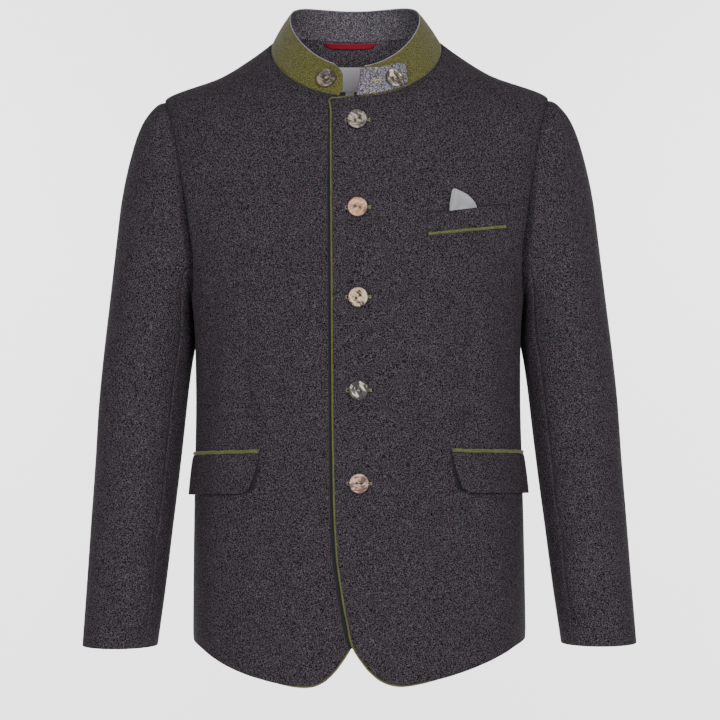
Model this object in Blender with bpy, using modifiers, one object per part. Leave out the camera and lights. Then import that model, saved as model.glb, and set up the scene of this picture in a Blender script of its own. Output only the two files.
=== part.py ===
"""Trachten coat: a man's single-breasted janker in charcoal wool with an olive stand collar.

Metres, +Z up. The front faces -Y and the wearer's left is +X. The origin lies in the middle of the
neck, level with the points where the shoulder seams meet the collar. The coat hangs as it is worn,
hollow and open at the neck, hem and cuffs. Every cloth piece is a wall between two layers of points.
"""

import math

import bpy
import numpy as np
from mathutils import Matrix, Vector

GAP = 0.0003  # between pieces at a seam, and between a piece and the panel it lies on
CLOTH = 0.0018  # coat wool with its interlining
COLLAR_PLY = 0.0012  # each of the collar's two layers
THIN_PLY = 0.0009  # facing, pocket square, ribbon and labels
PIPING = 0.0022  # width of the corded edge of the fronts
POCKET_PIPING = 0.0034
BUTTON_DIAMETER = 0.0226
BUTTON_THICKNESS = 0.0036
FLAP_LIFT = 0.0038  # how far a flap's lower edge stands off the coat

CENTRE_FRONT = -0.0073  # the two fronts' edges mirror each other about this line
UNDERARM = -0.300  # level where the side seam ends and the armhole begins
SHOULDER_TIP = -0.0636
HEM_ROWS_END = -0.600  # the rows below this level bend to follow the hem
ARMHOLE_FRONT = 0.062  # depth of the armhole ahead of the shoulder seam and behind it
ARMHOLE_BACK = 0.070
ARMHOLE_STEPS = 12

# The coat's body is a family of closed sections. A section's level is its height at the side. Columns:
# level, height at centre front and at centre back, half width, depth ahead and behind, power, tilt.
SECTIONS = (
    (-0.780, -0.780, -0.780, 0.2000, 0.141, 0.146, 2.40, 0.00),
    (-0.710, -0.710, -0.710, 0.1992, 0.137, 0.142, 2.40, 0.00),
    (-0.600, -0.600, -0.600, 0.1978, 0.130, 0.136, 2.40, 0.00),
    (-0.510, -0.510, -0.510, 0.1960, 0.122, 0.127, 2.40, 0.00),
    (-0.420, -0.420, -0.420, 0.1943, 0.117, 0.118, 2.40, 0.00),
    (-0.357, -0.357, -0.357, 0.1948, 0.119, 0.121, 2.40, 0.00),
    (-0.300, -0.300, -0.300, 0.1985, 0.122, 0.127, 2.40, 0.00),
    (-0.250, -0.261, -0.253, 0.2095, 0.123, 0.131, 2.35, 0.00),
    (-0.190, -0.222, -0.205, 0.2265, 0.122, 0.131, 2.25, 0.00),
    (-0.120, -0.181, -0.152, 0.2350, 0.117, 0.126, 2.12, 0.00),
    (-0.0636, -0.150, -0.104, 0.2305, 0.110, 0.116, 2.00, 0.00),
    (-0.0336, -0.112, -0.057, 0.1610, 0.103, 0.103, 2.00, 0.12),
    (-0.0144, -0.085, -0.015, 0.1275, 0.097, 0.090, 2.00, 0.35),
    (0.000, -0.0665, 0.0175, 0.1026, 0.088, 0.075, 2.00, 0.65),
)

# Height, and x of the wearer's left front's edge there, from the cutaway corner up to the neck.
FRONT_EDGE = (
    (-0.7290, 0.0120),
    (-0.7148, 0.0000),
    (-0.7030, -0.0073),
    (-0.6805, -0.0120),
    (-0.6600, -0.0172),
    (-0.6325, -0.0214),
    (-0.6038, -0.0253),
    (-0.5400, -0.0285),
    (-0.4200, -0.0299),
    (-0.3000, -0.0299),
    (-0.1000, -0.0304),
    (-0.0600, -0.0291),
)

# Share of the way from the cutaway corner to the side seam, and height of the front hem there.
FRONT_HEM = (
    (0.000, -0.7290),
    (0.034, -0.7342),
    (0.095, -0.7422),
    (0.150, -0.7475),
    (0.203, -0.7495),
    (0.267, -0.7485),
    (0.417, -0.7445),
    (0.578, -0.7385),
    (0.738, -0.7300),
    (0.845, -0.7225),
    (0.925, -0.7150),
    (1.000, -0.7060),
)
SIDE_HEM = -0.7060
CENTRE_BACK_HEM = -0.7130

# Sleeve sections run from the armhole to the cuff, each between an outer and an inner point. Columns:
# outer x and z, inner x and z, depth ahead and behind, centre y, share of the armhole's own curve.
SLEEVE = (
    (0.2305, -0.0636, 0.1985, -0.2998, 0.062, 0.070, 0.000, 1.00),
    (0.2420, -0.0706, 0.2000, -0.2992, 0.064, 0.071, 0.000, 0.80),
    (0.2530, -0.0832, 0.2008, -0.3008, 0.065, 0.072, 0.000, 0.60),
    (0.2625, -0.1015, 0.2009, -0.3040, 0.066, 0.073, 0.000, 0.42),
    (0.2705, -0.1255, 0.2006, -0.3085, 0.067, 0.074, 0.000, 0.26),
    (0.2780, -0.1540, 0.1999, -0.3150, 0.068, 0.075, 0.000, 0.12),
    (0.2845, -0.1870, 0.1989, -0.3230, 0.069, 0.075, 0.000, 0.04),
    (0.2892, -0.2220, 0.1979, -0.3330, 0.069, 0.075, 0.001, 0.00),
    (0.2938, -0.2600, 0.1971, -0.3430, 0.069, 0.074, 0.001, 0.00),
    (0.2985, -0.3010, 0.1967, -0.3540, 0.068, 0.073, 0.002, 0.00),
    (0.3045, -0.3560, 0.1992, -0.3760, 0.067, 0.071, 0.003, 0.00),
    (0.3085, -0.4000, 0.2030, -0.4060, 0.065, 0.068, 0.002, 0.00),
    (0.3126, -0.4560, 0.2088, -0.4600, 0.062, 0.065, 0.000, 0.00),
    (0.3165, -0.5130, 0.2150, -0.5140, 0.060, 0.062, -0.003, 0.00),
    (0.3204, -0.5710, 0.2220, -0.5712, 0.057, 0.058, -0.009, 0.00),
    (0.3247, -0.6420, 0.2303, -0.6420, 0.052, 0.052, -0.019, 0.00),
    (0.3290, -0.7110, 0.2395, -0.7110, 0.046, 0.046, -0.030, 0.00),
)
FOREARM_SEAM = 9  # steps round the sleeve from its top, past the front
HINDARM_SEAM = 16

# The collar rises from the neck seam to a section of this level and these columns, as above.
COLLAR_TOP_LEVEL = 0.037
COLLAR_TOP = (-0.031, 0.053, 0.0800, 0.078, 0.066, 2.00, 0.65)
COLLAR_BELLY = 0.0012  # how far the collar rounds out at half its height
# Share of the collar's height, and angle of its right and left ends there.
COLLAR_ENDS = (
    (0.00, -11.1, 0.3),
    (0.30, -9.6, 1.2),
    (0.62, -10.2, 2.2),
    (0.84, -12.8, 2.9),
    (1.00, -18.5, 3.4),
)
TAB_END = 38.0  # degrees from centre front to the rounded end of the folded tab
TAB_PLY = 0.0022
PIPED_SHARE = 0.45  # share of a front's columns, from the cutaway corner, that the edge piping runs along
FREE_NECK_END = -1.5  # angle where the piping of the free neck edge begins
HIDDEN_PIPING_ROW = 3  # the under front's piping goes up to this row, just inside the overlap

BREAST_WELT = dict(left=(0.0820, -0.2051), right=(0.1720, -0.1945), height=0.0215)
HIP_FLAP = dict(inner=dict(left=0.1090, right=0.1159), height=0.0455, top=-0.4815, rise=0.0030)
FIRST_BUTTON = -0.0945
BUTTON_STEP = 0.1055
# Angle round the collar, share of its height, and how far the button's seat lies off the collar's curve.
COLLAR_BUTTONS = {
    "collar_button_right": (-22.8, 0.47, -0.0004),
    "collar_button_left": (29.8, 0.40, GAP + TAB_PLY + 0.0003),
}

CLOTH_COLOUR = (0.043, 0.037, 0.042)
SLEEVE_COLOUR = (0.046, 0.040, 0.045)
OLIVE = (0.110, 0.103, 0.036)
OLIVE_PIPING = (0.150, 0.160, 0.040)
GREY_WOOL = (0.090, 0.083, 0.092)
GREY_TAB = (0.180, 0.170, 0.190)
CHARCOAL_FACING = (0.040, 0.035, 0.040)
RIBBON_RED = (0.300, 0.010, 0.030)
LABEL_GREY = (0.230, 0.220, 0.230)
SATIN_GREY = (0.350, 0.345, 0.370)
HORN = (0.330, 0.260, 0.220)


def smooth_table(table, at):
    """The table's other columns at values of its first, by a cubic that never overshoots its rows."""
    table = np.array(table)
    x, y = table[:, 0], table[:, 1:]
    chord = np.diff(y, axis=0) / np.diff(x)[:, None]
    slope = np.zeros_like(y)
    slope[0], slope[-1] = chord[0], chord[-1]
    before, after = chord[:-1], chord[1:]
    same_way = before * after > 0
    total = np.where(same_way, before + after, 1.0)
    slope[1:-1] = np.where(same_way, 2 * before * after / total, 0.0)
    at = np.clip(np.asarray(at, float), x[0], x[-1])
    row = np.clip(np.searchsorted(x, at) - 1, 0, len(x) - 2)
    step = (x[row + 1] - x[row])[..., None]
    u = (at - x[row])[..., None] / step
    rise = u * u * (3 - 2 * u)
    return (
        y[row] * (1 - rise)
        + y[row + 1] * rise
        + step * slope[row] * u * (1 - u) ** 2
        - step * slope[row + 1] * u * u * (1 - u)
    )


def smoothstep(low, high, value):
    u = np.clip((np.asarray(value) - low) / (high - low), 0, 1)
    return u * u * (3 - 2 * u)


def unit(vectors):
    return vectors / np.maximum(np.linalg.norm(vectors, axis=-1, keepdims=True), 1e-12)


def section_point(angle, level, columns):
    """A point of a section: 0 degrees is centre front, 90 the wearer's left side, 180 centre back."""
    front_z, back_z, half, ahead, behind, power, tilt = np.moveaxis(columns, -1, 0)
    turn = np.radians(angle)
    sine, cosine = np.sin(turn), np.cos(turn)
    radius = (np.abs(sine) ** power + np.abs(cosine) ** power) ** (-1 / power)
    depth = np.where(cosine > 0, ahead, behind)
    centre_z = np.where(cosine > 0, front_z, back_z)
    y = -depth * radius * cosine
    toward = np.where(cosine > 0, -1.0, 1.0)
    drop = (level + tilt * toward * depth - centre_z) / depth**2
    return np.stack([half * radius * sine, y, level + tilt * y - drop * y * y], axis=-1)


def body(angle, level):
    angle, level = np.broadcast_arrays(np.asarray(angle, float), np.asarray(level, float))
    return section_point(angle, level, smooth_table(SECTIONS, level))


def surface_normal(surface, angle, level):
    """Outward unit normals of a surface given by angle and level."""
    turn, lift = 0.2, 0.0005
    along = surface(angle + turn, level) - surface(angle - turn, level)
    upward = surface(angle, level + lift) - surface(angle, level - lift)
    return unit(np.cross(along, upward))


def body_normal(angle, level):
    angle, level = np.broadcast_arrays(np.asarray(angle, float), np.asarray(level, float))
    return surface_normal(body, angle, np.minimum(level, -0.0006))


def angle_at_x(x, level):
    """The angle on the front where a section crosses x."""
    _, _, half, _, _, power, _ = np.moveaxis(smooth_table(SECTIONS, level), -1, 0)
    across = np.clip(np.asarray(x) / half, -1, 1)
    ahead = (1 - np.abs(across) ** power) ** (1 / power)
    return np.degrees(np.arctan2(across, ahead))


def angle_at_depth(depth, level, side):
    """The angle where a section is this far ahead of the shoulder seam (side 0) or behind it (side 1)."""
    columns = smooth_table(SECTIONS, level)
    power = columns[..., 5]
    toward = np.clip(depth / columns[..., 3 + side], 0, 1)
    across = (1 - toward**power) ** (1 / power)
    angle = np.degrees(np.arctan2(across, toward))
    return 180 - angle if side else angle


def on_front(x, z):
    """Angle and level of the front's point at x and height z, by halving the range of levels."""
    x, z = np.broadcast_arrays(np.asarray(x, float), np.asarray(z, float))
    low, high = np.full(x.shape, -0.779), np.zeros(x.shape)
    for _ in range(40):
        middle = (low + high) / 2
        below = body(angle_at_x(x, middle), middle)[..., 2] < z
        low, high = np.where(below, middle, low), np.where(below, high, middle)
    return angle_at_x(x, low), low


def along_rows(points):
    """Direction along each row or column of a grid, at its first axis."""
    return unit(np.gradient(points, axis=0))


def inset(points, normals, amounts):
    """Moves a grid's borders inward in its own surface: amounts for bottom, top, first and last column."""
    moved = points.copy()
    borders = (
        (np.s_[0, :], 1.0, amounts[0]),
        (np.s_[-1, :], -1.0, amounts[1]),
        (np.s_[:, 0], -1.0, amounts[2]),
        (np.s_[:, -1], 1.0, amounts[3]),
    )
    for border, sign, amount in borders:
        inward = unit(np.cross(normals[border], along_rows(points[border])))
        moved[border] += sign * np.broadcast_to(amount, (len(inward),))[:, None] * inward
    return moved


def mitre(first, second):
    """Direction and length that offsets two meeting surfaces by one thickness."""
    dot = np.clip(np.sum(first * second, axis=-1, keepdims=True), 0, 1)
    return (first + second) / (1 + dot)


COAT = bpy.data.collections.new("trachten_coat")


def material(name, colour, roughness=0.9):
    found = bpy.data.materials.get(name)
    if found is None:
        found = bpy.data.materials.new(name)
        found.use_nodes = True
        surface = found.node_tree.nodes["Principled BSDF"]
        surface.inputs["Base Color"].default_value = (*colour, 1.0)
        surface.inputs["Roughness"].default_value = roughness
        surface.inputs["Metallic"].default_value = 0.0
    return found


def add_mesh(name, points, faces, finish, mirrored=False):
    points = np.array(points, float)
    if mirrored:
        points[:, 0] *= -1
        faces = [face[::-1] for face in faces]
    mesh = bpy.data.meshes.new(name)
    mesh.from_pydata(points.tolist(), [], faces)
    mesh.update()
    mesh.shade_smooth()
    mesh.set_sharp_from_angle(angle=math.radians(50))
    piece = bpy.data.objects.new(name, mesh)
    piece.data.materials.append(finish)
    COAT.objects.link(piece)
    return piece


def wall(name, outer, inner, finish, mirrored=False):
    """A closed wall between an outer and an inner grid of points, with a rim on its four sides."""
    rows, columns = outer.shape[:2]
    layer = rows * columns
    index = np.arange(layer).reshape(rows, columns)
    a, b = index[:-1, :-1].ravel(), index[:-1, 1:].ravel()
    c, d = index[1:, 1:].ravel(), index[1:, :-1].ravel()
    faces = np.concatenate([np.stack([a, b, c, d], 1), layer + np.stack([a, d, c, b], 1)]).tolist()
    loop = np.concatenate([index[0, :-1], index[:-1, -1], index[-1, :0:-1], index[:0:-1, 0]])
    after = np.roll(loop, -1)
    faces += np.stack([loop, layer + loop, layer + after, after], 1).tolist()
    points = np.concatenate([outer.reshape(-1, 3), inner.reshape(-1, 3)])
    return add_mesh(name, points, faces, finish, mirrored)


def layer_wall(name, points, normals, low, high, finish, mirrored=False):
    """A wall that lies between two heights over a grid of points."""
    return wall(name, points + high * normals, points + low * normals, finish, mirrored)


def cord(name, path, normals, width, height, finish, mirrored=False, sides=8):
    """An oval cord along a path, width across it in the cloth's surface and height off the surface."""
    ahead = along_rows(path)
    across = unit(np.cross(normals, ahead))
    turn = np.arange(sides) * 2 * np.pi / sides
    ring = (
        path[:, None]
        + np.cos(turn)[None, :, None] * across[:, None] * width / 2
        + np.sin(turn)[None, :, None] * normals[:, None] * height / 2
    )
    count = len(path)
    index = np.arange(count * sides).reshape(count, sides)
    after = np.roll(index, -1, axis=1)
    quads = np.stack([index[:-1], after[:-1], after[1:], index[1:]], -1).reshape(-1, 4)
    faces = quads.tolist() + [index[0, ::-1].tolist(), index[-1].tolist()]
    return add_mesh(name, ring.reshape(-1, 3), faces, finish, mirrored)


def body_levels(hem):
    """Levels of the rows from the hem up to the neck, and the number of the underarm and shoulder rows."""
    low = hem + (HEM_ROWS_END - hem) * np.linspace(0, 1, 6)[:-1, None]
    middle = np.linspace(HEM_ROWS_END, UNDERARM, 11)
    turn = np.arange(1, ARMHOLE_STEPS + 1) * np.pi / ARMHOLE_STEPS
    armhole = UNDERARM + (SHOULDER_TIP - UNDERARM) * (1 - np.cos(turn)) / 2
    shoulder = np.linspace(SHOULDER_TIP, 0, 5)[1:]
    fixed = np.concatenate([middle, armhole, shoulder])[:, None]
    levels = np.concatenate([low, np.broadcast_to(fixed, (len(fixed), len(hem)))])
    underarm = len(low) + len(middle) - 1
    return levels, underarm, underarm + ARMHOLE_STEPS


def armhole_depth(reach):
    """Depth of the armhole's curve at each row from the underarm to the shoulder tip."""
    turn = np.arange(ARMHOLE_STEPS + 1) * np.pi / ARMHOLE_STEPS
    return reach * np.sin(turn) ** 0.85


def front_grid(shift, neck_start, neck_length, neck_drop, folds=(), columns=14):
    """Angles and levels of a front, edge to side, with the wearer's side at +X. A shift moves its edge.

    A fold is a column at this distance past the other front's edge, where the front goes under it.
    """
    corner = FRONT_EDGE[0][1] + shift
    reach = np.linspace(0, 1, columns + 1) ** 1.2
    share = reach[: columns + 1 - len(folds) - bool(folds)] / reach[columns - len(folds) - bool(folds)]
    start = angle_at_x(corner, FRONT_EDGE[0][0])
    hem_share = np.concatenate([np.arange(1 + len(folds)) * 0.03, 0.09 + 0.91 * share]) if folds else share
    hem_x = body(start + (90 - start) * hem_share, -0.730)[:, 0]
    hem = smooth_table(FRONT_HEM, (hem_x - corner) / (hem_x[-1] - corner))[:, 0]
    levels, underarm, tip = body_levels(hem)
    edge_z = body(np.zeros(len(levels)), levels[:, 0])[:, 2]
    edge_x = smooth_table(FRONT_EDGE, edge_z)[:, 0]
    start = angle_at_x(edge_x + shift, levels[:, 0])
    end = np.full(len(levels), 90.0)
    end[underarm : tip + 1] = angle_at_depth(armhole_depth(ARMHOLE_FRONT), levels[underarm : tip + 1, -1], 0)
    edges = [start]
    for fold in folds:
        step = (end - start) * 0.03
        edges.append(np.maximum(angle_at_x(fold - edge_x, levels[:, 0]), edges[-1] + step))
    if folds:
        edges.insert(1, (edges[0] + edges[1]) / 2)
    first = edges.pop()
    rest = first[:, None] + (end - first)[:, None] * share
    angles = np.column_stack([*edges, rest])
    neck_x = body(angles[-1], 0.0)[:, 0]
    levels = levels.copy()
    levels[-1] -= neck_drop * np.clip((neck_start - neck_x) / neck_length, 0, 1) ** 1.3
    return angles, levels, underarm, tip


def back_grid(columns=9):
    """Angles and levels of a back, side to centre back, on the wearer's left."""
    share = np.linspace(0, 1, columns + 1)
    hem = SIDE_HEM + (CENTRE_BACK_HEM - SIDE_HEM) * smoothstep(0, 1, share)
    levels, underarm, tip = body_levels(hem)
    start = np.full(len(levels), 90.0)
    start[underarm : tip + 1] = angle_at_depth(armhole_depth(ARMHOLE_BACK), levels[underarm : tip + 1, 0], 1)
    angles = start[:, None] + (180 - start)[:, None] * share
    return angles, levels, underarm, tip


LEFT_FRONT = front_grid(0.0, neck_start=-0.002, neck_length=0.028, neck_drop=0.0072)
RIGHT_FRONT = front_grid(
    -2 * CENTRE_FRONT, neck_start=0.0185, neck_length=0.010, neck_drop=0.0050, folds=(0.0032, 0.018)
)
BACK = back_grid()


def armhole_ring():
    """Points and body normals round the armhole: from the shoulder tip down the front and up the back."""
    front_angles, front_levels, underarm, tip = LEFT_FRONT
    back_angles, back_levels = BACK[:2]
    rows = np.s_[underarm : tip + 1]
    angles = np.concatenate([front_angles[rows, -1][::-1], back_angles[rows, 0][1:-1]])
    levels = np.concatenate([front_levels[rows, -1][::-1], back_levels[rows, 0][1:-1]])
    return body(angles, levels), body_normal(angles, levels)


def sleeve_grid():
    """The sleeve's outer points, a closed ring for each row of the table, starting at the outer seam."""
    armhole, armhole_normals = armhole_ring()
    turn = np.arange(2 * ARMHOLE_STEPS) * np.pi / ARMHOLE_STEPS
    outer_x, outer_z, inner_x, inner_z, ahead, behind, centre_y, share = np.array(SLEEVE).T[:, :, None]
    lean = np.cos(turn)
    sideways = np.sin(turn)
    x = (outer_x + inner_x) / 2 + (outer_x - inner_x) / 2 * lean
    z = (outer_z + inner_z) / 2 + (outer_z - inner_z) / 2 * lean
    y = centre_y - np.where(sideways > 0, ahead, behind) * sideways
    rings = np.stack([x, y, z], axis=-1)
    rings += share[..., None] * (armhole - rings[0])
    return rings, armhole_normals


def ring_normals(rings):
    """Outward normals of a tube of closed rings."""
    round_ring = np.roll(rings, -1, axis=1) - np.roll(rings, 1, axis=1)
    down = np.gradient(rings, axis=0)
    return unit(np.cross(round_ring, down))


SLEEVE_RINGS, ARMHOLE_NORMALS = sleeve_grid()
SLEEVE_NORMALS = ring_normals(SLEEVE_RINGS)
ARMHOLE_MITRE = mitre(ARMHOLE_NORMALS, SLEEVE_NORMALS[0])


def armhole_across():
    """Direction across the armhole seam, from the body toward the sleeve."""
    ring = SLEEVE_RINGS[0]
    return unit(np.cross(ARMHOLE_MITRE, np.roll(ring, -1, axis=0) - np.roll(ring, 1, axis=0)))


ARMHOLE_ACROSS = armhole_across()


def collar_point(angle, share):
    """The collar's outer surface: share 0 is the neck seam and 1 the top edge."""
    angle, share = np.broadcast_arrays(np.asarray(angle, float), np.asarray(share, float))
    foot = body(angle, np.zeros(angle.shape))
    top = section_point(angle, np.full(angle.shape, COLLAR_TOP_LEVEL), np.array(COLLAR_TOP))
    belly = COLLAR_BELLY * np.sin(np.pi * share)[..., None]
    line = foot + (top - foot) * share[..., None]
    return line + belly * unit(line * (1.0, 1.0, 0.0))


def collar_normal(angle, share):
    turn, rise = 0.3, 0.02
    along = collar_point(angle + turn, share) - collar_point(angle - turn, share)
    upward = collar_point(angle, share + rise) - collar_point(angle, share - rise)
    return unit(np.cross(along, upward))


def neck_mitre(angle):
    """Offset direction at the neck seam, shared by the body's edge and the collar's foot."""
    return mitre(body_normal(angle, 0.0), collar_normal(angle, 0.0))


def panel_layers(grid, armhole, across, collared, side, depth=0.0, borders=(0.0, 0.0)):
    """Outer and inner points of a body panel, and its normals, with its borders drawn back for the seams.

    Side is the column of the side seam and armhole, collared tells which angles meet the collar, and
    borders are the amounts for the hem and for the column opposite the side.
    """
    angles, levels, underarm, tip = grid
    points, normals = body(angles, levels), body_normal(angles, levels)
    offsets = normals.copy()
    rows = np.s_[underarm : tip + 1]
    offsets[rows, side] = armhole
    with_collar = collared(angles[-1])
    offsets[-1, with_collar] = neck_mitre(angles[-1])[with_collar]
    seam = GAP / 2
    hem, opposite = borders
    first, last = (opposite, seam) if side == -1 else (seam, opposite)
    moved = inset(points, unit(offsets), (hem, seam, first, last))
    moved[rows, side] = points[rows, side] - seam * across
    depth = np.broadcast_to(depth, angles.shape)[..., None]
    outer = moved - depth * offsets
    return outer, outer - CLOTH * offsets, normals


def front_layers(grid, tucked, collared):
    """One front. The tucked one goes under the other from the overlap to its own edge."""
    angles, levels = grid[:2]
    points = body(angles, levels)
    lap_edge = smooth_table(FRONT_EDGE, points[..., 2])[..., 0]
    under = CLOTH + 0.0005
    depth = under * (1 - smoothstep(0.004, 0.017, points[..., 0] + lap_edge)) if tucked else 0.0
    share = np.linspace(0, 1, angles.shape[1])
    hem = (PIPING + GAP) * (1 - smoothstep(PIPED_SHARE, PIPED_SHARE + 0.1, share))
    edge = np.full(len(angles), PIPING / 2 + GAP)
    hem[0] /= 2
    edge[0] /= 2
    rows = ARMHOLE_STEPS + 1
    return panel_layers(
        grid, ARMHOLE_MITRE[:rows][::-1], ARMHOLE_ACROSS[:rows][::-1], collared, -1, depth, (hem, edge)
    )


def make_fronts():
    cloth = material("charcoal_wool", CLOTH_COLOUR)
    sides = (
        ("left", LEFT_FRONT, lambda angle: angle > COLLAR_ENDS[0][2]),
        ("right", RIGHT_FRONT, lambda angle: angle > -COLLAR_ENDS[0][1]),
    )
    for name, grid, collared in sides:
        mirrored = name == "right"
        outer, inner, normals = front_layers(grid, mirrored, collared)
        wall(f"front_{name}", outer, inner, cloth, mirrored)
        free_neck = 0 if mirrored else int(np.sum(grid[0][-1] < FREE_NECK_END)) - 1
        make_edge_piping(name, outer, inner, normals, free_neck, mirrored)


def make_edge_piping(name, outer, inner, normals, free_neck, mirrored):
    """Corded edge: along the free neck edge, down the front edge and round the cutaway hem."""
    last_hem = int(PIPED_SHARE * (outer.shape[1] - 1))
    middle = (outer + inner) / 2
    top = np.s_[-1, free_neck:0:-1]
    side = np.s_[(HIDDEN_PIPING_ROW if mirrored else len(outer) - 1) :: -1, 0]
    bottom = np.s_[0, 1 : last_hem + 1]
    path = np.concatenate([middle[top], middle[side], middle[bottom]])
    facing = np.concatenate([normals[top], normals[side], normals[bottom]])
    outward = -unit(np.cross(facing, along_rows(path)))
    path = path + outward * (PIPING / 2 + GAP)
    finish = material("olive_piping", OLIVE_PIPING)
    cord(f"piping_front_{name}", path, facing, PIPING, CLOTH, finish, mirrored)


def make_backs():
    cloth = material("charcoal_wool", CLOTH_COLOUR)
    ring = np.append(np.arange(ARMHOLE_STEPS, 2 * ARMHOLE_STEPS), 0)
    outer, inner, normals = panel_layers(
        BACK, ARMHOLE_MITRE[ring], ARMHOLE_ACROSS[ring], lambda angle: angle > 0, 0, borders=(0.0, GAP / 2)
    )
    wall("back_left", outer, inner, cloth)
    wall("back_right", outer, inner, cloth, mirrored=True)
    return inner, normals


def sleeve_layers(columns):
    """Outer and inner points of one sleeve piece, with its seams drawn back."""
    points = SLEEVE_RINGS[:, columns]
    offsets = SLEEVE_NORMALS[:, columns].copy()
    offsets[0] = ARMHOLE_MITRE[columns]
    moved = inset(points[::-1], unit(offsets)[::-1], (0.0, 0.0, -GAP / 2, -GAP / 2))[::-1]
    moved[0] += GAP / 2 * ARMHOLE_ACROSS[columns]
    return moved, moved - CLOTH * offsets


def make_sleeves():
    cloth = material("charcoal_sleeve_wool", SLEEVE_COLOUR)
    count = 2 * ARMHOLE_STEPS
    pieces = (
        ("upper_sleeve", np.arange(HINDARM_SEAM, count + FOREARM_SEAM + 1) % count),
        ("under_sleeve", np.arange(FOREARM_SEAM, HINDARM_SEAM + 1)),
    )
    for name, columns in pieces:
        outer, inner = sleeve_layers(columns)
        wall(f"{name}_left", outer, inner, cloth)
        wall(f"{name}_right", outer, inner, cloth, mirrored=True)


def collar_angles():
    """Angles of the collar's columns from its right end round the back to its left end, on each row."""
    rows = np.array(COLLAR_ENDS)
    back = BACK[0][-1]
    left_front = LEFT_FRONT[0][-1]
    right_front = RIGHT_FRONT[0][-1]
    left = left_front[left_front > 6.0][:-1]
    right = right_front[right_front > 17.0][:-1]
    whole = np.concatenate([right, back, 360 - back[-2::-1], 360 - left[::-1]])
    right_end, left_end = -rows[:, 1:2], 360 - rows[:, 2:3]
    near = np.exp(-(whole - whole[0]) / 8.0)
    bent = whole + near * (right_end - right_end[0])
    return np.concatenate([right_end, bent, left_end], axis=1), rows[:, 0]


def make_collar():
    """Two layers. Angles here run from the wearer's right front round the back, so x is turned over."""
    angles, shares = collar_angles()
    share = np.broadcast_to(shares[:, None], angles.shape)
    points = collar_point(angles, share)
    offsets = collar_normal(angles, share)
    offsets[0] = neck_mitre(angles[0] % 360)
    points = inset(points, unit(offsets), (GAP / 2, 0.0, 0.0, 0.0))
    olive = material("olive_felt", OLIVE)
    grey = material("grey_melange_wool", GREY_WOOL)
    layer_wall("collar_outer", points, offsets, -COLLAR_PLY, 0.0, olive, mirrored=True)
    inner_top = -COLLAR_PLY - GAP
    layer_wall("collar_inner", points, offsets, inner_top - COLLAR_PLY, inner_top, grey, mirrored=True)


def make_tab():
    """The collar's left end, folded back on its own outside and buttoned there."""
    collar_depth = 2 * COLLAR_PLY + GAP
    fold_shares = np.linspace(0.03, 1.0, 5)
    bends = np.radians((-12.0, 20.0, 55.0))
    ends = np.array(COLLAR_ENDS)
    shares = np.linspace(0, 1, 5)
    outer, inner = [], []
    fold = np.interp(fold_shares, ends[:, 0], ends[:, 2])
    middle = -collar_depth / 2
    reach = np.array((collar_depth / 2 + GAP + TAB_PLY, collar_depth / 2 + GAP))
    top = 0.965
    foot = 0.045
    heights = foot + (top - foot) * shares
    across = collar_point(fold + 0.3, heights)
    normal = collar_normal(fold, heights)
    ahead = unit(collar_point(fold - 0.5, heights) - collar_point(fold + 0.5, heights))
    for bend in bends:
        way = ahead * math.cos(bend) + normal * math.sin(bend)
        outer.append(across + middle * normal + reach[0] * way)
        inner.append(across + middle * normal + reach[1] * way)
    steps = np.array((0.0, 0.18, 0.36, 0.54, 0.70, 0.84, 0.94, 1.0))
    corner = np.array((0.0, 0.0, 0.0, 0.0, 0.0, 0.03, 0.12, 0.30))
    for step, cut in zip(steps, corner):
        angle = fold + 1.2 + (TAB_END - fold - 1.2) * step
        high = top - 0.27 * step
        low = 0.045 + 0.01 * step
        share = low + cut * 0.6 * (high - low) + (high - low) * (1 - cut * 1.3) * shares
        point, normal = collar_point(angle, share), collar_normal(angle, share)
        outer.append(point + (GAP + TAB_PLY) * normal)
        inner.append(point + GAP * normal)
    outer, inner = np.stack(outer, axis=1), np.stack(inner, axis=1)
    wall("collar_tab", outer, inner, material("grey_tab_wool", GREY_TAB))


def make_facing(back_inner, back_normals):
    """Back neck facing, made from the backs' own inner points."""
    rows = 5
    inner = back_inner[-rows:] - GAP * back_normals[-rows:]
    normals = back_normals[-rows:]
    left, left_normals = inner[:, 1:], normals[:, 1:]
    left = left.copy()
    left[:, -1, 0] = 0.0
    turn = np.array([-1.0, 1.0, 1.0])
    points = np.concatenate([left, left[:, -2::-1] * turn], axis=1)
    facing = np.concatenate([left_normals, left_normals[:, -2::-1] * turn], axis=1)
    layer_wall("neck_facing", points, facing, -THIN_PLY, 0.0, material("charcoal_facing", CHARCOAL_FACING))


def make_front_trim():
    """Breast welt, its piping and the pocket square, on the wearer's left front."""
    cloth = material("charcoal_wool", CLOTH_COLOUR)
    olive = material("olive_piping", OLIVE_PIPING)
    left, right = np.array(BREAST_WELT["left"]), np.array(BREAST_WELT["right"])
    along = np.linspace(0, 1, 9)
    top = left + (right - left) * along[:, None]
    rise = np.linspace(0, 1, 3)[:, None]
    x = np.broadcast_to(top[:, 0], (3, 9))
    z = top[:, 1] - BREAST_WELT["height"] * (1 - rise)
    angles, levels = on_front(x, z)
    points, normals = body(angles, levels), body_normal(angles, levels)
    layer_wall("breast_welt", points, normals, GAP, GAP + CLOTH, cloth)
    radius = POCKET_PIPING / 2
    angles, levels = on_front(top[:, 0], top[:, 1] - BREAST_WELT["height"] - radius - GAP)
    normals = body_normal(angles, levels)
    path = body(angles, levels) + (GAP + CLOTH / 2) * normals
    cord("piping_breast", path, normals, POCKET_PIPING, CLOTH, olive)
    make_pocket_square(left, right)


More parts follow.
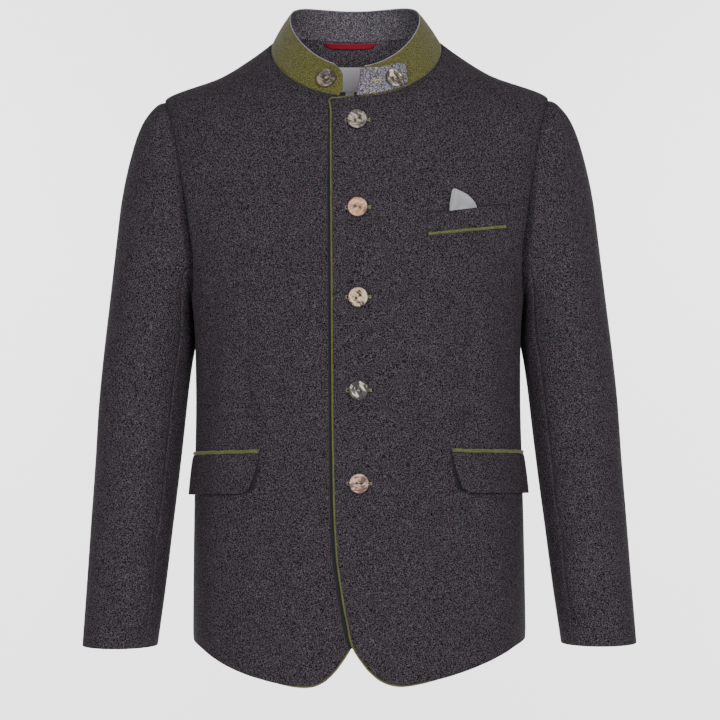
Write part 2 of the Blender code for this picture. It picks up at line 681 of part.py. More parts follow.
def make_pocket_square(left, right):
    """A fold of the pocket's satin lining that stands above the welt, from its foot up to an uneven peak."""
    x = np.array((0.1065, 0.1120, 0.1185, 0.1260, 0.1340, 0.1410))
    peak = np.array((-0.1915, -0.1765, -0.1785, -0.1815, -0.1890, -0.1975))
    foot = left[1] + (right[1] - left[1]) * (x - left[0]) / (right[0] - left[0]) + GAP
    z = foot + (peak - foot) * np.linspace(0, 1, 4)[:, None]
    angles, levels = on_front(np.broadcast_to(x, z.shape), z)
    satin = material("grey_satin", SATIN_GREY, 0.4)
    points, normals = body(angles, levels), body_normal(angles, levels)
    layer_wall("pocket_square", points, normals, GAP, GAP + THIN_PLY, satin)


def make_hip_trim():
    """A flap and its piping on each hip."""
    cloth = material("charcoal_wool", CLOTH_COLOUR)
    olive = material("olive_piping", OLIVE_PIPING)
    along = np.linspace(0, 1, 10)
    top = HIP_FLAP["top"] - HIP_FLAP["rise"] * along
    round_corner = np.array((0.055, 0.012) + (0.0,) * 6 + (0.01, 0.05))
    rise = np.linspace(0, 1, 5)[:, None]
    foot = top - HIP_FLAP["height"] * (1 - 2.2 * round_corner)
    level = foot + (top - foot) * rise
    taper = 1.6 * (1 - rise) ** 2 * (1 - along) ** 4
    lift = FLAP_LIFT * (1 - rise) ** 1.2
    path_level = top + GAP + POCKET_PIPING / 2
    for name, mirrored in (("left", False), ("right", True)):
        start = float(angle_at_x(HIP_FLAP["inner"][name], HIP_FLAP["top"]))
        angle = start + (87.5 - start) * along
        angles = np.broadcast_to(angle, level.shape) + taper
        points, normals = body(angles, level), body_normal(angles, level)
        points = points + lift[..., None] * normals
        path_normals = body_normal(angle, path_level)
        path = body(angle, path_level) + (GAP + CLOTH / 2) * path_normals
        layer_wall(f"flap_{name}", points, normals, GAP, GAP + CLOTH, cloth, mirrored)
        cord(f"piping_hip_{name}", path, path_normals, POCKET_PIPING, CLOTH, olive, mirrored)


def button_mesh(horn):
    """A turned horn button with a dished face and two holes, its back on z = 0."""
    radius, thick = BUTTON_DIAMETER / 2, BUTTON_THICKNESS
    profile = (
        (0.00, 0.78),
        (0.58, 0.78),
        (0.74, 0.96),
        (0.90, 1.00),
        (1.00, 0.78),
        (1.00, 0.42),
        (0.80, 0.00),
        (0.00, 0.00),
    )
    points = [(share * radius, 0.0, height * thick) for share, height in profile]
    mesh = bpy.data.meshes.new("button_profile")
    mesh.from_pydata(points, [(i, i + 1) for i in range(len(points) - 1)], [])
    blank = bpy.data.objects.new("button_blank", mesh)
    COAT.objects.link(blank)
    screw = blank.modifiers.new("turn", "SCREW")
    screw.steps = screw.render_steps = 16
    screw.use_merge_vertices = True
    screw.merge_threshold = 0.00001
    holes = []
    for side in (-1, 1):
        bpy.ops.mesh.primitive_cylinder_add(
            vertices=8, radius=0.0011, depth=4 * thick, location=(side * 0.0024, 0, thick / 2)
        )
        hole = bpy.context.object
        cut = blank.modifiers.new("hole", "BOOLEAN")
        cut.operation = "DIFFERENCE"
        cut.object = hole
        holes.append(hole)
    graph = bpy.context.evaluated_depsgraph_get()
    button = bpy.data.meshes.new_from_object(blank.evaluated_get(graph))
    button.name = "horn_button"
    button.materials.clear()
    button.materials.append(horn)
    for piece in (blank, *holes):
        bpy.data.objects.remove(piece)
    return button


def place_button(name, mesh, point, normal):
    """Sets a button's back a gap above a point, facing along the normal, holes level."""
    facing = Vector(normal)
    across = Vector((0, 0, 1)).cross(facing).normalized()
    up = facing.cross(across)
    turn = Matrix((across, up, facing)).transposed()
    button = bpy.data.objects.new(name, mesh)
    button.location = Vector(point) + facing * GAP * 1.5
    button.rotation_euler = turn.to_euler()
    COAT.objects.link(button)


def make_buttons():
    mesh = button_mesh(material("stag_horn", HORN, 0.45))
    for number in range(5):
        angle, level = on_front(0.0005, FIRST_BUTTON - BUTTON_STEP * number)
        place_button(f"button_{number + 1}", mesh, body(angle, level), body_normal(angle, level))
    for name, (angle, share, lift) in COLLAR_BUTTONS.items():
        point, normal = collar_point(angle, share), collar_normal(angle, share)
        place_button(name, mesh, point + lift * normal, normal)


def make_neck_details(back_inner, back_normals):
    """Hanger loop, label and size tab, on the neck facing. They sit off centre, to the wearer's right."""
    base = CLOTH + GAP + THIN_PLY + GAP
    items = (
        ("hanger_loop", -0.0075, (0.0265, 0.0335), 0.0155, 0.0068, RIBBON_RED, 5),
        ("neck_label", -0.0075, (0.0210, 0.0210), -0.0120, 0.0290, LABEL_GREY, 3),
        ("size_tab", -0.0087, (0.0050, 0.0050), -0.0420, 0.0060, LABEL_GREY, 1),
    )
    for name, centre, (foot_half, top_half), top, height, colour, steps in items:
        rise = np.linspace(0, 1, 3)[:, None]
        x = centre + (foot_half + (top_half - foot_half) * rise) * np.linspace(1, -1, 2 * steps + 1)
        z = top - height * (1 - rise)
        points, normals = on_back(x, np.broadcast_to(z, x.shape))
        rest = points - (base + 0.0004) * normals
        layer_wall(name, rest, normals, -THIN_PLY, 0.0, material(name, colour, 0.8))


def on_back(x, z):
    """Points and normals of the back at x and height z."""
    low, high = np.full(x.shape, UNDERARM), np.zeros(x.shape)
    for _ in range(40):
        middle = (low + high) / 2
        below = back_at_x(x, middle)[0][..., 2] < z
        low, high = np.where(below, middle, low), np.where(below, high, middle)
    return back_at_x(x, low)


def back_at_x(x, level):
    angle = 180 - angle_at_x(x, level)
    return body(angle, level), body_normal(angle, level)


def main():
    for found in list(bpy.data.objects):
        bpy.data.objects.remove(found)
    bpy.context.scene.collection.children.link(COAT)
    make_fronts()
    back_inner, back_normals = make_backs()
    make_sleeves()
    make_collar()
    make_tab()
    make_facing(back_inner, back_normals)
    make_front_trim()
    make_hip_trim()
    make_neck_details(back_inner, back_normals)
    make_buttons()


main()
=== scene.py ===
# %% [markdown]
# # A trachten coat
# A man's janker: charcoal wool with pale hairs in it, an olive stand collar folded open and buttoned
# back, green piping and stag-horn buttons. It is shown filled out, as if worn, with nobody in it.
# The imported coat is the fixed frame. Each cloth piece is worked out again here on the same form, with
# a finer grid, soft folds, pressed seams and rounded edges, and then stands in for its plain solid.

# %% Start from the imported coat
import math

import bpy
import numpy as np
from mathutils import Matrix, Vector


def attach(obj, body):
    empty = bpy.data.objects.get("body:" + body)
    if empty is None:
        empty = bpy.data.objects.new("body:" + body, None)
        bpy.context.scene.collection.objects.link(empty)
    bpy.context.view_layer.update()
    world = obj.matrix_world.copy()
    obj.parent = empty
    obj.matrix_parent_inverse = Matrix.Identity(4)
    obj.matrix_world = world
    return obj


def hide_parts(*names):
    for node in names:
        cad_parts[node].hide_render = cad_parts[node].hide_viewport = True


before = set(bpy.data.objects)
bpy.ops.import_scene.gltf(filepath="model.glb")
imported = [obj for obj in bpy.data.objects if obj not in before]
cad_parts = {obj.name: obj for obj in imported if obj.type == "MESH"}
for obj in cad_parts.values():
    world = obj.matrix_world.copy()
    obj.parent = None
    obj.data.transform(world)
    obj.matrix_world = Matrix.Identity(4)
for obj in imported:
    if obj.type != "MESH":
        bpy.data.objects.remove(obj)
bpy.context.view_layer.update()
print("The packed coat has", len(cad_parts), "pieces")

# %% [markdown]
# The coat's form is a stack of closed sections, as on a tailor's dummy. Each is a rounded oval with
# its own half width and depths, and above the underarm it leans and droops from the shoulder down to
# the chest. One table holds them, and a smooth curve through its rows gives every level in between.

# %% The coat's form
SECTIONS = (  # level, height at centre front and back, half width, depth ahead, behind, power, tilt
    (-0.780, -0.780, -0.780, 0.2000, 0.141, 0.146, 2.40, 0.00),
    (-0.710, -0.710, -0.710, 0.1992, 0.137, 0.142, 2.40, 0.00),
    (-0.600, -0.600, -0.600, 0.1978, 0.130, 0.136, 2.40, 0.00),
    (-0.510, -0.510, -0.510, 0.1960, 0.122, 0.127, 2.40, 0.00),
    (-0.420, -0.420, -0.420, 0.1943, 0.117, 0.118, 2.40, 0.00),
    (-0.357, -0.357, -0.357, 0.1948, 0.119, 0.121, 2.40, 0.00),
    (-0.300, -0.300, -0.300, 0.1985, 0.122, 0.127, 2.40, 0.00),
    (-0.250, -0.261, -0.253, 0.2095, 0.123, 0.131, 2.35, 0.00),
    (-0.190, -0.222, -0.205, 0.2265, 0.122, 0.131, 2.25, 0.00),
    (-0.120, -0.181, -0.152, 0.2350, 0.117, 0.126, 2.12, 0.00),
    (-0.0636, -0.150, -0.104, 0.2305, 0.110, 0.116, 2.00, 0.00),
    (-0.0336, -0.112, -0.057, 0.1610, 0.103, 0.103, 2.00, 0.12),
    (-0.0144, -0.085, -0.015, 0.1275, 0.097, 0.090, 2.00, 0.35),
    (0.000, -0.0665, 0.0175, 0.1026, 0.088, 0.075, 2.00, 0.65),
)
CLOTH, THIN_PLY, LINING_PLY = 0.0018, 0.0009, 0.0006  # thickness of the wool, of labels and of linings
GAP = 0.0003  # between a piece and the panel it lies on
UNDERARM, SHOULDER_TIP, HEM_ROWS_END = -0.300, -0.0636, -0.600  # levels
LOWEST_LEVEL = -0.779


def through_rows(table, at):
    """Hermite curve through the rows: slopes are harmonic means of the chords, so it never overshoots."""
    table = np.array(table, float)
    x, y = table[:, 0], table[:, 1:]
    chord = np.diff(y, axis=0) / np.diff(x)[:, None]
    slope = np.zeros_like(y)
    slope[0], slope[-1] = chord[0], chord[-1]
    same_way = chord[:-1] * chord[1:] > 0
    total = np.where(same_way, chord[:-1] + chord[1:], 1.0)
    slope[1:-1] = np.where(same_way, 2 * chord[:-1] * chord[1:] / total, 0.0)
    at = np.clip(np.asarray(at, float), x[0], x[-1])
    row = np.clip(np.searchsorted(x, at) - 1, 0, len(x) - 2)
    step = (x[row + 1] - x[row])[..., None]
    u = (at - x[row])[..., None] / step
    rise = u * u * (3 - 2 * u)
    bow = step * u * (1 - u) * (slope[row] * (1 - u) - slope[row + 1] * u)
    return y[row] * (1 - rise) + y[row + 1] * rise + bow


print("Chest half width", round(float(through_rows(SECTIONS, -0.12)[2]), 3), "m")


# %% Points on the coat
def ease(low, high, value):
    """0 below low, 1 above high, and 3u^2 - 2u^3 between."""
    u = np.clip((np.asarray(value, float) - low) / (high - low), 0, 1)
    return u * u * (3 - 2 * u)


def unit(vectors):
    """Vectors divided by their lengths."""
    return vectors / np.maximum(np.linalg.norm(vectors, axis=-1, keepdims=True), 1e-12)


def on_section(angle, level, columns):
    """x = half r sin, y = -depth r cos, with r the rounded oval's radius (|sin|^p + |cos|^p)^(-1/p).

    The height is level + tilt y, less a droop that grows with y squared to reach the centre's height.
    """
    front_z, back_z, half, ahead, behind, power, tilt = np.moveaxis(columns, -1, 0)
    turn = np.radians(angle)
    sine, cosine = np.sin(turn), np.cos(turn)
    radius = (np.abs(sine) ** power + np.abs(cosine) ** power) ** (-1 / power)
    in_front = cosine > 0
    depth, centre_z = np.where(in_front, ahead, behind), np.where(in_front, front_z, back_z)
    y = -depth * radius * cosine
    drop = (level + tilt * np.where(in_front, -depth, depth) - centre_z) / depth**2
    return np.stack([half * radius * sine, y, level + tilt * y - drop * y * y], axis=-1)


def body(angle, level):
    """The coat's outside at an angle, 0 at centre front and 90 at the wearer's left side, and a level."""
    angle, level = np.broadcast_arrays(np.asarray(angle, float), np.asarray(level, float))
    return on_section(angle, level, through_rows(SECTIONS, level))


def facing_of(surface, angle, level, turn=0.2, lift=0.0005):
    """Outward direction: the cross product of the surface's two small steps."""
    along = surface(angle + turn, level) - surface(angle - turn, level)
    upward = surface(angle, level + lift) - surface(angle, level - lift)
    return unit(np.cross(along, upward))


def body_facing(angle, level):
    """Outward direction of the coat. At the neck it is that of the last level just below."""
    return facing_of(body, np.asarray(angle, float), np.minimum(level, -0.0006))


print("Centre front at the underarm:", body(0.0, UNDERARM).round(3))


# %% From a place on the coat back to its angle and level
def angle_at_x(x, level):
    """The angle where the front of a section is at x."""
    columns = through_rows(SECTIONS, level)
    across = np.clip(np.asarray(x) / columns[..., 2], -1, 1)
    power = columns[..., 5]
    return np.degrees(np.arctan2(across, (1 - np.abs(across) ** power) ** (1 / power)))


def angle_at_depth(depth, level, side):
    """The angle where a section is this far ahead of the shoulder line, side 0, or behind it, side 1."""
    columns = through_rows(SECTIONS, level)
    toward = np.clip(depth / columns[..., 3 + side], 0, 1)
    power = columns[..., 5]
    angle = np.degrees(np.arctan2((1 - toward**power) ** (1 / power), toward))
    return 180 - angle if side else angle


def level_at_height(angle_at, x, z, lowest):
    """The level where the coat has x and height z: the range of levels is halved forty times."""
    x, z = np.broadcast_arrays(np.asarray(x, float), np.asarray(z, float))
    low, high = np.full(x.shape, lowest), np.zeros(x.shape)
    for _ in range(40):
        middle = (low + high) / 2
        below = body(angle_at(x, middle), middle)[..., 2] < z
        low, high = np.where(below, middle, low), np.where(below, high, middle)
    return low


def on_front(x, z):
    """Angle and level of the front's point at x and z."""
    level = level_at_height(angle_at_x, x, z, LOWEST_LEVEL)
    return angle_at_x(x, level), level


def back_angle_at_x(x, level):
    """The angle where the back of a section is at x."""
    return 180 - angle_at_x(x, level)


def on_back(x, z):
    """Point and facing of the back at x and z."""
    level = level_at_height(back_angle_at_x, x, z, UNDERARM)
    angle = back_angle_at_x(x, level)
    return body(angle, level), body_facing(angle, level)


angle, level = on_front(0.03, -0.20)
print("On the front, 3 cm to the left and 20 cm down is", round(float(angle)), "degrees round the coat")

# %% [markdown]
# Cloth is never a bare sheet here. A wall has an outer and an inner layer of points, joined by a rim.
# On a free edge the rim swells out as a half round, which catches the light like a turned hem. At a
# seam it stays flat, and both pieces dip a little, which makes the groove of a pressed seam.

# %% Spacing, lengths and borders of a grid
RIM = np.radians((30.0, 65.0, 90.0, 115.0, 150.0))  # places of the rim's rings on its half round
PULL_REACH = 0.012  # metres over which a drawn back border takes its neighbours along
UNEVENNESS = ((0.0310, 0.5), (0.0127, 0.3), (0.0053, 0.2))  # length of a wave and its share


def close_by(length, places, fine, coarse, reach=0.006, also=()):
    """Positions from 0 to length, a fine step apart near the places and a coarse step elsewhere.

    More places may be named with a step and a reach of their own.
    """
    x = np.linspace(0, length, 4001)
    density = np.full(x.shape, 1 / coarse)
    for place, step, around in [(place, fine, reach) for place in places] + list(also):
        density += (1 / step - 1 / coarse) * np.exp(-(((x - place) / around) ** 2))
    count = np.append(0, np.cumsum((density[1:] + density[:-1]) / 2 * np.diff(x)))
    return np.interp(np.linspace(0, count[-1], int(np.ceil(count[-1])) + 1), count, x)


def lengths(points, axis):
    """Distance walked along each row (axis 1) or column (axis 0) of a grid, from its first point."""
    steps = np.linalg.norm(np.diff(points, axis=axis), axis=-1)
    start = np.zeros_like(np.take(steps, [0], axis=axis))
    return np.concatenate([start, np.cumsum(steps, axis=axis)], axis=axis)


def from_borders(points):
    """Distances of a grid's points from its bottom, top, first and last border."""
    up, along = lengths(points, 0), lengths(points, 1)
    return up, up[-1:] - up, along, along[:, -1:] - along


def out_of(points, inward, border):
    """The way out of a panel at a border: in its surface, square to the border's own line."""
    line, inner = {
        "bottom": (points[0], points[1]),
        "top": (points[-1], points[-2]),
        "first": (points[:, 0], points[:, 1]),
        "last": (points[:, -1], points[:, -2]),
    }[border]
    normal = {"bottom": inward[0], "top": inward[-1], "first": inward[:, 0], "last": inward[:, -1]}[border]
    out = unit(np.cross(unit(np.gradient(line, axis=0)), normal))
    return out * np.sign(np.sum(out * (line - inner), axis=-1, keepdims=True))


def draw_back(points, inward, amounts):
    """Slides a grid's points in its own surface, so that its borders stop short by these amounts.

    A point moves square to each border, by the amount times exp(-distance / reach). Where two
    borders meet, the sum is divided by 1 + the share in which their two ways are one way.
    """
    total, meeting = np.zeros_like(points), np.zeros(points.shape[:2])
    done = []
    for away, amount, border in zip(from_borders(points), amounts, ("bottom", "top", "first", "last")):
        if not np.any(amount):
            continue
        level = border in ("bottom", "top")
        amount = np.broadcast_to(amount, points.shape[1 if level else 0])
        way = -out_of(points, inward, border)
        amount, way = (amount[None], way[None]) if level else (amount[:, None], way[:, None])
        near = np.exp(-away / PULL_REACH)
        way = np.broadcast_to(way, points.shape)
        for other, other_way in done:
            meeting += near * other * np.maximum(np.sum(way * other_way, axis=-1), 0)
        done.append((near, way))
        total += (amount * near)[..., None] * way
    return points + total / (1 + meeting)[..., None]


print("Points are closest at a border:", close_by(0.02, (0.0,), 0.001, 0.005).round(4))


# %% Meshes from arrays
def new_mesh(name, points, faces, uv=None, mirrored=False):
    """A smooth mesh from arrays of points and of faces. Mirrored turns it over to the wearer's right."""
    points = np.array(points, float)
    if mirrored:
        points[:, 0] *= -1
        faces = [group[:, ::-1] for group in faces]
    corners = np.concatenate([group.ravel() for group in faces])
    sizes = np.concatenate([np.full(len(group), group.shape[1]) for group in faces])
    mesh = bpy.data.meshes.new(name)
    mesh.vertices.add(len(points))
    mesh.vertices.foreach_set("co", points.astype(np.float32).ravel())
    mesh.loops.add(len(corners))
    mesh.loops.foreach_set("vertex_index", corners.astype(np.int32))
    mesh.polygons.add(len(sizes))
    mesh.polygons.foreach_set("loop_start", (np.cumsum(sizes) - sizes).astype(np.int32))
    if uv is not None:
        layer = mesh.uv_layers.new(name="cloth")
        layer.uv.foreach_set("vector", np.asarray(uv, np.float32)[corners].ravel())
    mesh.update()
    mesh.validate()
    mesh.shade_smooth()
    piece = bpy.data.objects.new(name, mesh)
    bpy.context.scene.collection.objects.link(piece)
    return piece


def border_loop(index):
    """The points' numbers all round a grid, each once."""
    return np.concatenate([index[0, :-1], index[:-1, -1], index[-1, :0:-1], index[:0:-1, 0]])


def cloth_wall(name, outer, inward, thick=CLOTH, swell=(1, 1, 1, 1), mirrored=False):
    """A closed wall: outer points, the same points moved in by the thickness, and a rim between them.

    Swell says for the bottom, top, first and last border how round its rim is: each rim point is the
    edge's middle + cos t (half the thickness, inward) + sin t (half the thickness, out of the panel).
    """
    rows, columns = outer.shape[:2]
    inner = outer - thick * inward
    index = np.arange(rows * columns).reshape(rows, columns)
    a, b, c, d = index[:-1, :-1], index[:-1, 1:], index[1:, 1:], index[1:, :-1]
    quads = np.stack([a, b, c, d], -1).reshape(-1, 4)
    layer = rows * columns
    faces = [quads, layer + quads[:, ::-1]]
    away = np.zeros_like(outer)
    away[0] += swell[0] * out_of(outer, inward, "bottom")
    away[-1] += swell[1] * out_of(outer, inward, "top")
    away[:, 0] += swell[2] * out_of(outer, inward, "first")
    away[:, -1] += swell[3] * out_of(outer, inward, "last")
    loop = border_loop(index)
    edge_out, edge_in = outer.reshape(-1, 3)[loop], inner.reshape(-1, 3)[loop]
    push = away.reshape(-1, 3)[loop] * thick / 2
    middle, half = (edge_out + edge_in) / 2, (edge_out - edge_in) / 2
    rim = middle + np.cos(RIM)[:, None, None] * half + np.sin(RIM)[:, None, None] * push
    count = len(loop)
    rings = np.concatenate([loop[None], 2 * layer + np.arange(rim[:, :, 0].size).reshape(len(RIM), count)])
    rings = np.concatenate([rings, layer + loop[None]])
    after = np.roll(rings, -1, axis=1)
    faces.append(np.stack([rings[:-1], rings[1:], after[1:], after[:-1]], -1).reshape(-1, 4))
    up, _, along, _ = from_borders(outer)
    flat = np.stack([along, up], -1).reshape(-1, 2)
    uv = np.concatenate([flat, flat, np.tile(flat[loop], (len(RIM), 1))])
    points = np.concatenate([outer.reshape(-1, 3), inner.reshape(-1, 3), rim.reshape(-1, 3)])
    return new_mesh(name, points, faces, uv, mirrored)


print("A rim has", len(RIM), "rings between its two layers")

# %% [markdown]
# Piping, stitches and thread are round: an oval ring carried along a path. A real cord is never quite
# even, so it strays and swells a little, and thread that is wound round a stitch makes it swell evenly.

# %% Round cords, and sewing pieces on
def uneven(walked, seed=0.0):
    """Slow and quick unevenness between -1 and 1: three sines whose lengths share no multiple."""
    total = 0.0
    for length, share in UNEVENNESS:
        total = total + share * np.sin(2 * np.pi * walked / length + seed * 7 + length * 900)
    return total


def round_cord(
    name, path, facing, width, height, sides=8, mirrored=False, wrap=0.0, pitch=0.001, wobble=0.0, slim=1.0
):
    """An oval ring carried along a path, width in the cloth's surface and height off it.

    Wrap swells it once every pitch, by this share, as wound thread does. Wobble is how far it strays
    sideways, and slim is its share of the full size, which may change along it.
    """
    ahead = unit(np.gradient(path, axis=0))
    across = unit(np.cross(facing, ahead))
    out = np.cross(ahead, across)
    walked = lengths(path[:, None], 0)
    path = path + wobble * uneven(walked, len(path)) * across
    size = (1 + wrap * np.cos(2 * np.pi * walked / pitch)) * np.reshape(slim, (-1, 1))
    size = size * (1 + wobble * 250 * uneven(walked, 0.4 * len(path)))
    turn = np.arange(sides) * 2 * np.pi / sides
    ring = (
        path[:, None]
        + (size * np.cos(turn))[..., None] * across[:, None] * width / 2
        + (size * np.sin(turn))[..., None] * out[:, None] * height / 2
    )
    count = len(path)
    index = np.arange(count * sides).reshape(count, sides)
    after = np.roll(index, -1, axis=1)
    round_faces = np.stack([index[:-1], after[:-1], after[1:], index[1:]], -1).reshape(-1, 4)
    first, last = np.full(sides, count * sides), np.full(sides, count * sides + 1)
    caps = [np.stack([first, after[0], index[0]], -1), np.stack([last, index[-1], after[-1]], -1)]
    points = np.concatenate([ring.reshape(-1, 3), path[:1], path[-1:]])
    uv = np.stack([np.tile(turn * width / 2, count), np.repeat(walked[:, 0], sides)], -1)
    uv = np.concatenate([uv, uv[:1], uv[-1:]])
    return new_mesh(name, points, [round_faces, *caps], uv, mirrored)


def sew_on(piece, finish, node=None):
    """Gives a piece its finish and fixes it to the coat, in the place of its plain solid if it has one."""
    piece.data.materials.append(finish)
    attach(piece, "root")
    if node:
        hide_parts(node)
    return piece


print("Unevenness at the start of a cord:", round(float(uneven(0.0)), 2))

# %% [markdown]
# The wool is melange: dark fibre with grey and a little pale hair carded in, so it sparkles like salt
# and pepper at a step's distance and looks an even charcoal from afar. Noise at the size of the
# tufts mixes the greys, finer noise roughens them, and stretched noise lays single pale hairs on top.
# All of it reads Object coordinates in metres, so the grain is one size on every piece.

# %% Colours and small shader helpers
CHARCOAL = (0.0266, 0.0229, 0.0264)
OLIVE = (0.103, 0.098, 0.0265)
PIPING_GREEN = (0.120, 0.130, 0.038)
# The tab's grey is the collar's inner grey ply painted about 1.6 times lighter: painted light on the open
# tab.
INNER_GREY, TAB_GREY_PAINTED_LIGHT = (0.080, 0.075, 0.084), (0.124, 0.118, 0.132)
PALE_HAIR = 5.5  # how many times lighter a pale hair is than the wool round it


def add(tree, kind, settings=None, **inputs):
    """Adds a shader node, sets its properties, and fills or links its inputs, by name or as i0, i1, ..."""
    node = tree.nodes.new("ShaderNode" + kind)
    for key, value in (settings or {}).items():
        setattr(node, key, value)
    for key, value in inputs.items():
        numbered = key[0] == "i" and key[1:].isdigit()
        socket = node.inputs[int(key[1:]) if numbered else key.replace("_", " ")]
        if isinstance(value, bpy.types.NodeSocket):
            tree.links.new(value, socket)
        else:
            socket.default_value = value
    return node


def finish_named(name, roughness, sheen=0.0, sheen_roughness=0.5, specular=0.5):
    """An empty finish: its tree, its surface shader and the Object coordinates."""
    finish = bpy.data.materials.new(name)
    finish.use_nodes = True
    tree = finish.node_tree
    surface = tree.nodes["Principled BSDF"]
    surface.inputs["Roughness"].default_value = roughness
    surface.inputs["Sheen Weight"].default_value = sheen
    surface.inputs["Sheen Roughness"].default_value = sheen_roughness
    surface.inputs["Specular IOR Level"].default_value = specular
    place = add(tree, "TexCoord").outputs["Object"]
    return finish, tree, surface, place


def blend_colours(tree, stops, share):
    """A colour ramp through stops of share and colour."""
    ramp = add(tree, "ValToRGB", Fac=share)
    while len(ramp.color_ramp.elements) < len(stops):
        ramp.color_ramp.elements.new(0.5)
    for element, (at, colour) in zip(ramp.color_ramp.elements, stops):
        element.position = at
        element.color = (*colour, 1)
    return ramp.outputs["Color"]


def grain(tree, place, scale, detail=3.0, rough=0.6, stretch=None, turn=(0, 0, 0)):
    """Noise with this many bumps a metre, drawn out this many times along each axis, then turned."""
    if stretch is not None:
        turned = tuple(math.radians(a) for a in turn)
        texture = {"vector_type": "TEXTURE"}
        place = add(tree, "Mapping", texture, Vector=place, Rotation=turned, Scale=stretch).outputs["Vector"]
    noise = add(tree, "TexNoise", Vector=place, Scale=scale, Detail=detail, Roughness=rough)
    return noise.outputs["Fac"]


def between(tree, low, high, value):
    """0 to 1 as the value goes from low to high."""
    spread = add(tree, "MapRange", Value=value, From_Min=low, From_Max=high)
    return spread.outputs["Result"]


def mix(tree, share, first, second, kind="MIX"):
    """The first colour at share 0, the second at 1, or their product by share."""
    node = add(tree, "Mix", {"data_type": "RGBA", "blend_type": kind}, i0=share, i6=first, i7=second)
    return node.outputs[2]


def reckon(tree, kind, first, second):
    """One sum on two values, such as ADD or MULTIPLY."""
    return add(tree, "Math", {"operation": kind}, i0=first, i1=second).outputs[0]


def weigh(tree, first, share, second):
    """The first value times its share plus the second value times the rest."""
    rest = reckon(tree, "MULTIPLY", second, 1 - share)
    return reckon(tree, "ADD", reckon(tree, "MULTIPLY", first, share), rest)


def raise_up(tree, surface, height, distance, strength):
    """A bump of this height value, a distance in metres deep."""
    bump = add(tree, "Bump", Height=height, Distance=distance, Strength=strength)
    tree.links.new(bump.outputs["Normal"], surface.inputs["Normal"])


def tone(colour, factor):
    """A colour made lighter or darker by a factor, at most 1 in each channel."""
    return tuple(min(1.0, c * factor) for c in colour)


def plain(name, colour, roughness, scale=1800):
    """Spun thread, plain lining or the black of painted shade: two tones of one colour."""
    finish, tree, surface, place = finish_named(name, roughness, sheen=0.1)
    value = grain(tree, place, scale, 3.0)
    cloth = blend_colours(tree, [(0.35, tone(colour, 0.6)), (0.65, tone(colour, 1.35))], value)
    tree.links.new(cloth, surface.inputs["Base Color"])
    raise_up(tree, surface, value, 0.0001, 0.6)
    return finish


print("Charcoal is", CHARCOAL, "and olive", OLIVE, "as linear colours")


# %% The wool
def melange_wool(name, colour, contrast, hairs=0.5, tuft=760):
    """Tufts of dark, middle and light fibre, clouded a little, under single pale hairs."""
    finish, tree, surface, place = finish_named(name, 0.95, sheen=0.05, sheen_roughness=0.35, specular=0.12)
    tufts = grain(tree, place, tuft, 3.0, 0.6)
    fibres = grain(tree, place, 2600, 2.0, 0.6)
    speckle = weigh(tree, tufts, 0.75, fibres)
    dark, middle, light, pale = (tone(colour, 1 + contrast * c) for c in (-0.85, -0.45, 0.55, 2.6))
    cloth = blend_colours(tree, [(0.40, dark), (0.475, middle), (0.53, light), (0.61, pale)], speckle)
    clouds = between(tree, 0.3, 0.7, grain(tree, place, 38, 3.0))
    cloth = mix(tree, clouds, cloth, mix(tree, 1.0, cloth, (1.16, 1.14, 1.16, 1), "MULTIPLY"))
    hues = between(tree, 0.42, 0.58, grain(tree, place, 520, 1.0))
    cloth = mix(tree, 1.0, cloth, mix(tree, hues, (1.16, 0.94, 1.02, 1), (0.90, 1.05, 1.06, 1)), "MULTIPLY")
    for turn in ((10, 35, 5), (-15, -40, 20), (5, 80, -10)):
        strands = grain(tree, place, 2000, 1.0, 0.5, (7.0, 1.0, 1.0), turn)
        hair = reckon(tree, "MULTIPLY", between(tree, 0.67, 0.74, strands), hairs)
        cloth = mix(tree, hair, cloth, (*tone(colour, PALE_HAIR), 1))
    tree.links.new(cloth, surface.inputs["Base Color"])
    raise_up(tree, surface, speckle, 0.0004, 0.9)
    return finish


# Body and sleeves are one cloth; the sleeves' copy is 3% lighter than the body's, as painted light.
coat_wool = melange_wool("charcoal_wool", tone(CHARCOAL, 0.97), 1.2, tuft=900)
sleeve_wool_painted_light = melange_wool("charcoal_sleeve_wool", CHARCOAL, 1.25, tuft=900)
print("Finishes so far:", coat_wool.name, sleeve_wool_painted_light.name)

# %% [markdown]
# A front is cut with a straight edge that curves away at the hem, a hem that rises to the side seam,
# and an armhole. So its grid follows them: each row runs from the edge to the side seam or armhole,
# the lowest rows bend along the hem, and one column in the middle follows the dart.

# %% Lines that the fronts follow
FRONT_EDGE = (  # height, and x of the wearer's left front's edge there
    (-0.7290, 0.0079),
    (-0.7264, 0.0061),
    (-0.7196, 0.0012),
    (-0.7127, -0.0033),
    (-0.7058, -0.0071),
    (-0.6990, -0.0095),
    (-0.6900, -0.0114),
    (-0.6800, -0.0132),
    (-0.6600, -0.0172),
    (-0.6325, -0.0214),
    (-0.6038, -0.0253),
    (-0.5400, -0.0285),
    (-0.4200, -0.0299),
    (-0.3000, -0.0299),
    (-0.1000, -0.0304),
    (-0.0600, -0.0291),
)
FRONT_HEM = (  # share of the way from the cutaway corner to the side seam, and height there
    (0.0000, -0.7290),
    (0.0234, -0.7333),
    (0.0426, -0.7368),
    (0.0654, -0.7403),
    (0.0947, -0.7438),
    (0.1350, -0.7471),
    (0.1700, -0.7487),
    (0.2070, -0.7495),
    (0.2450, -0.7494),
    (0.2880, -0.7485),
    (0.427, -0.7432),
    (0.588, -0.7366),
    (0.751, -0.7270),
    (0.860, -0.7180),
    (0.925, -0.7115),
    (1.000, -0.7060),
)
NECK_CORNER = 0.0028  # radius of a front's corner at the neck
SIDE_HEM, CENTRE_BACK_HEM = -0.7060, -0.7130
CENTRE_FRONT = -0.0087  # the two fronts' edges mirror each other about this line
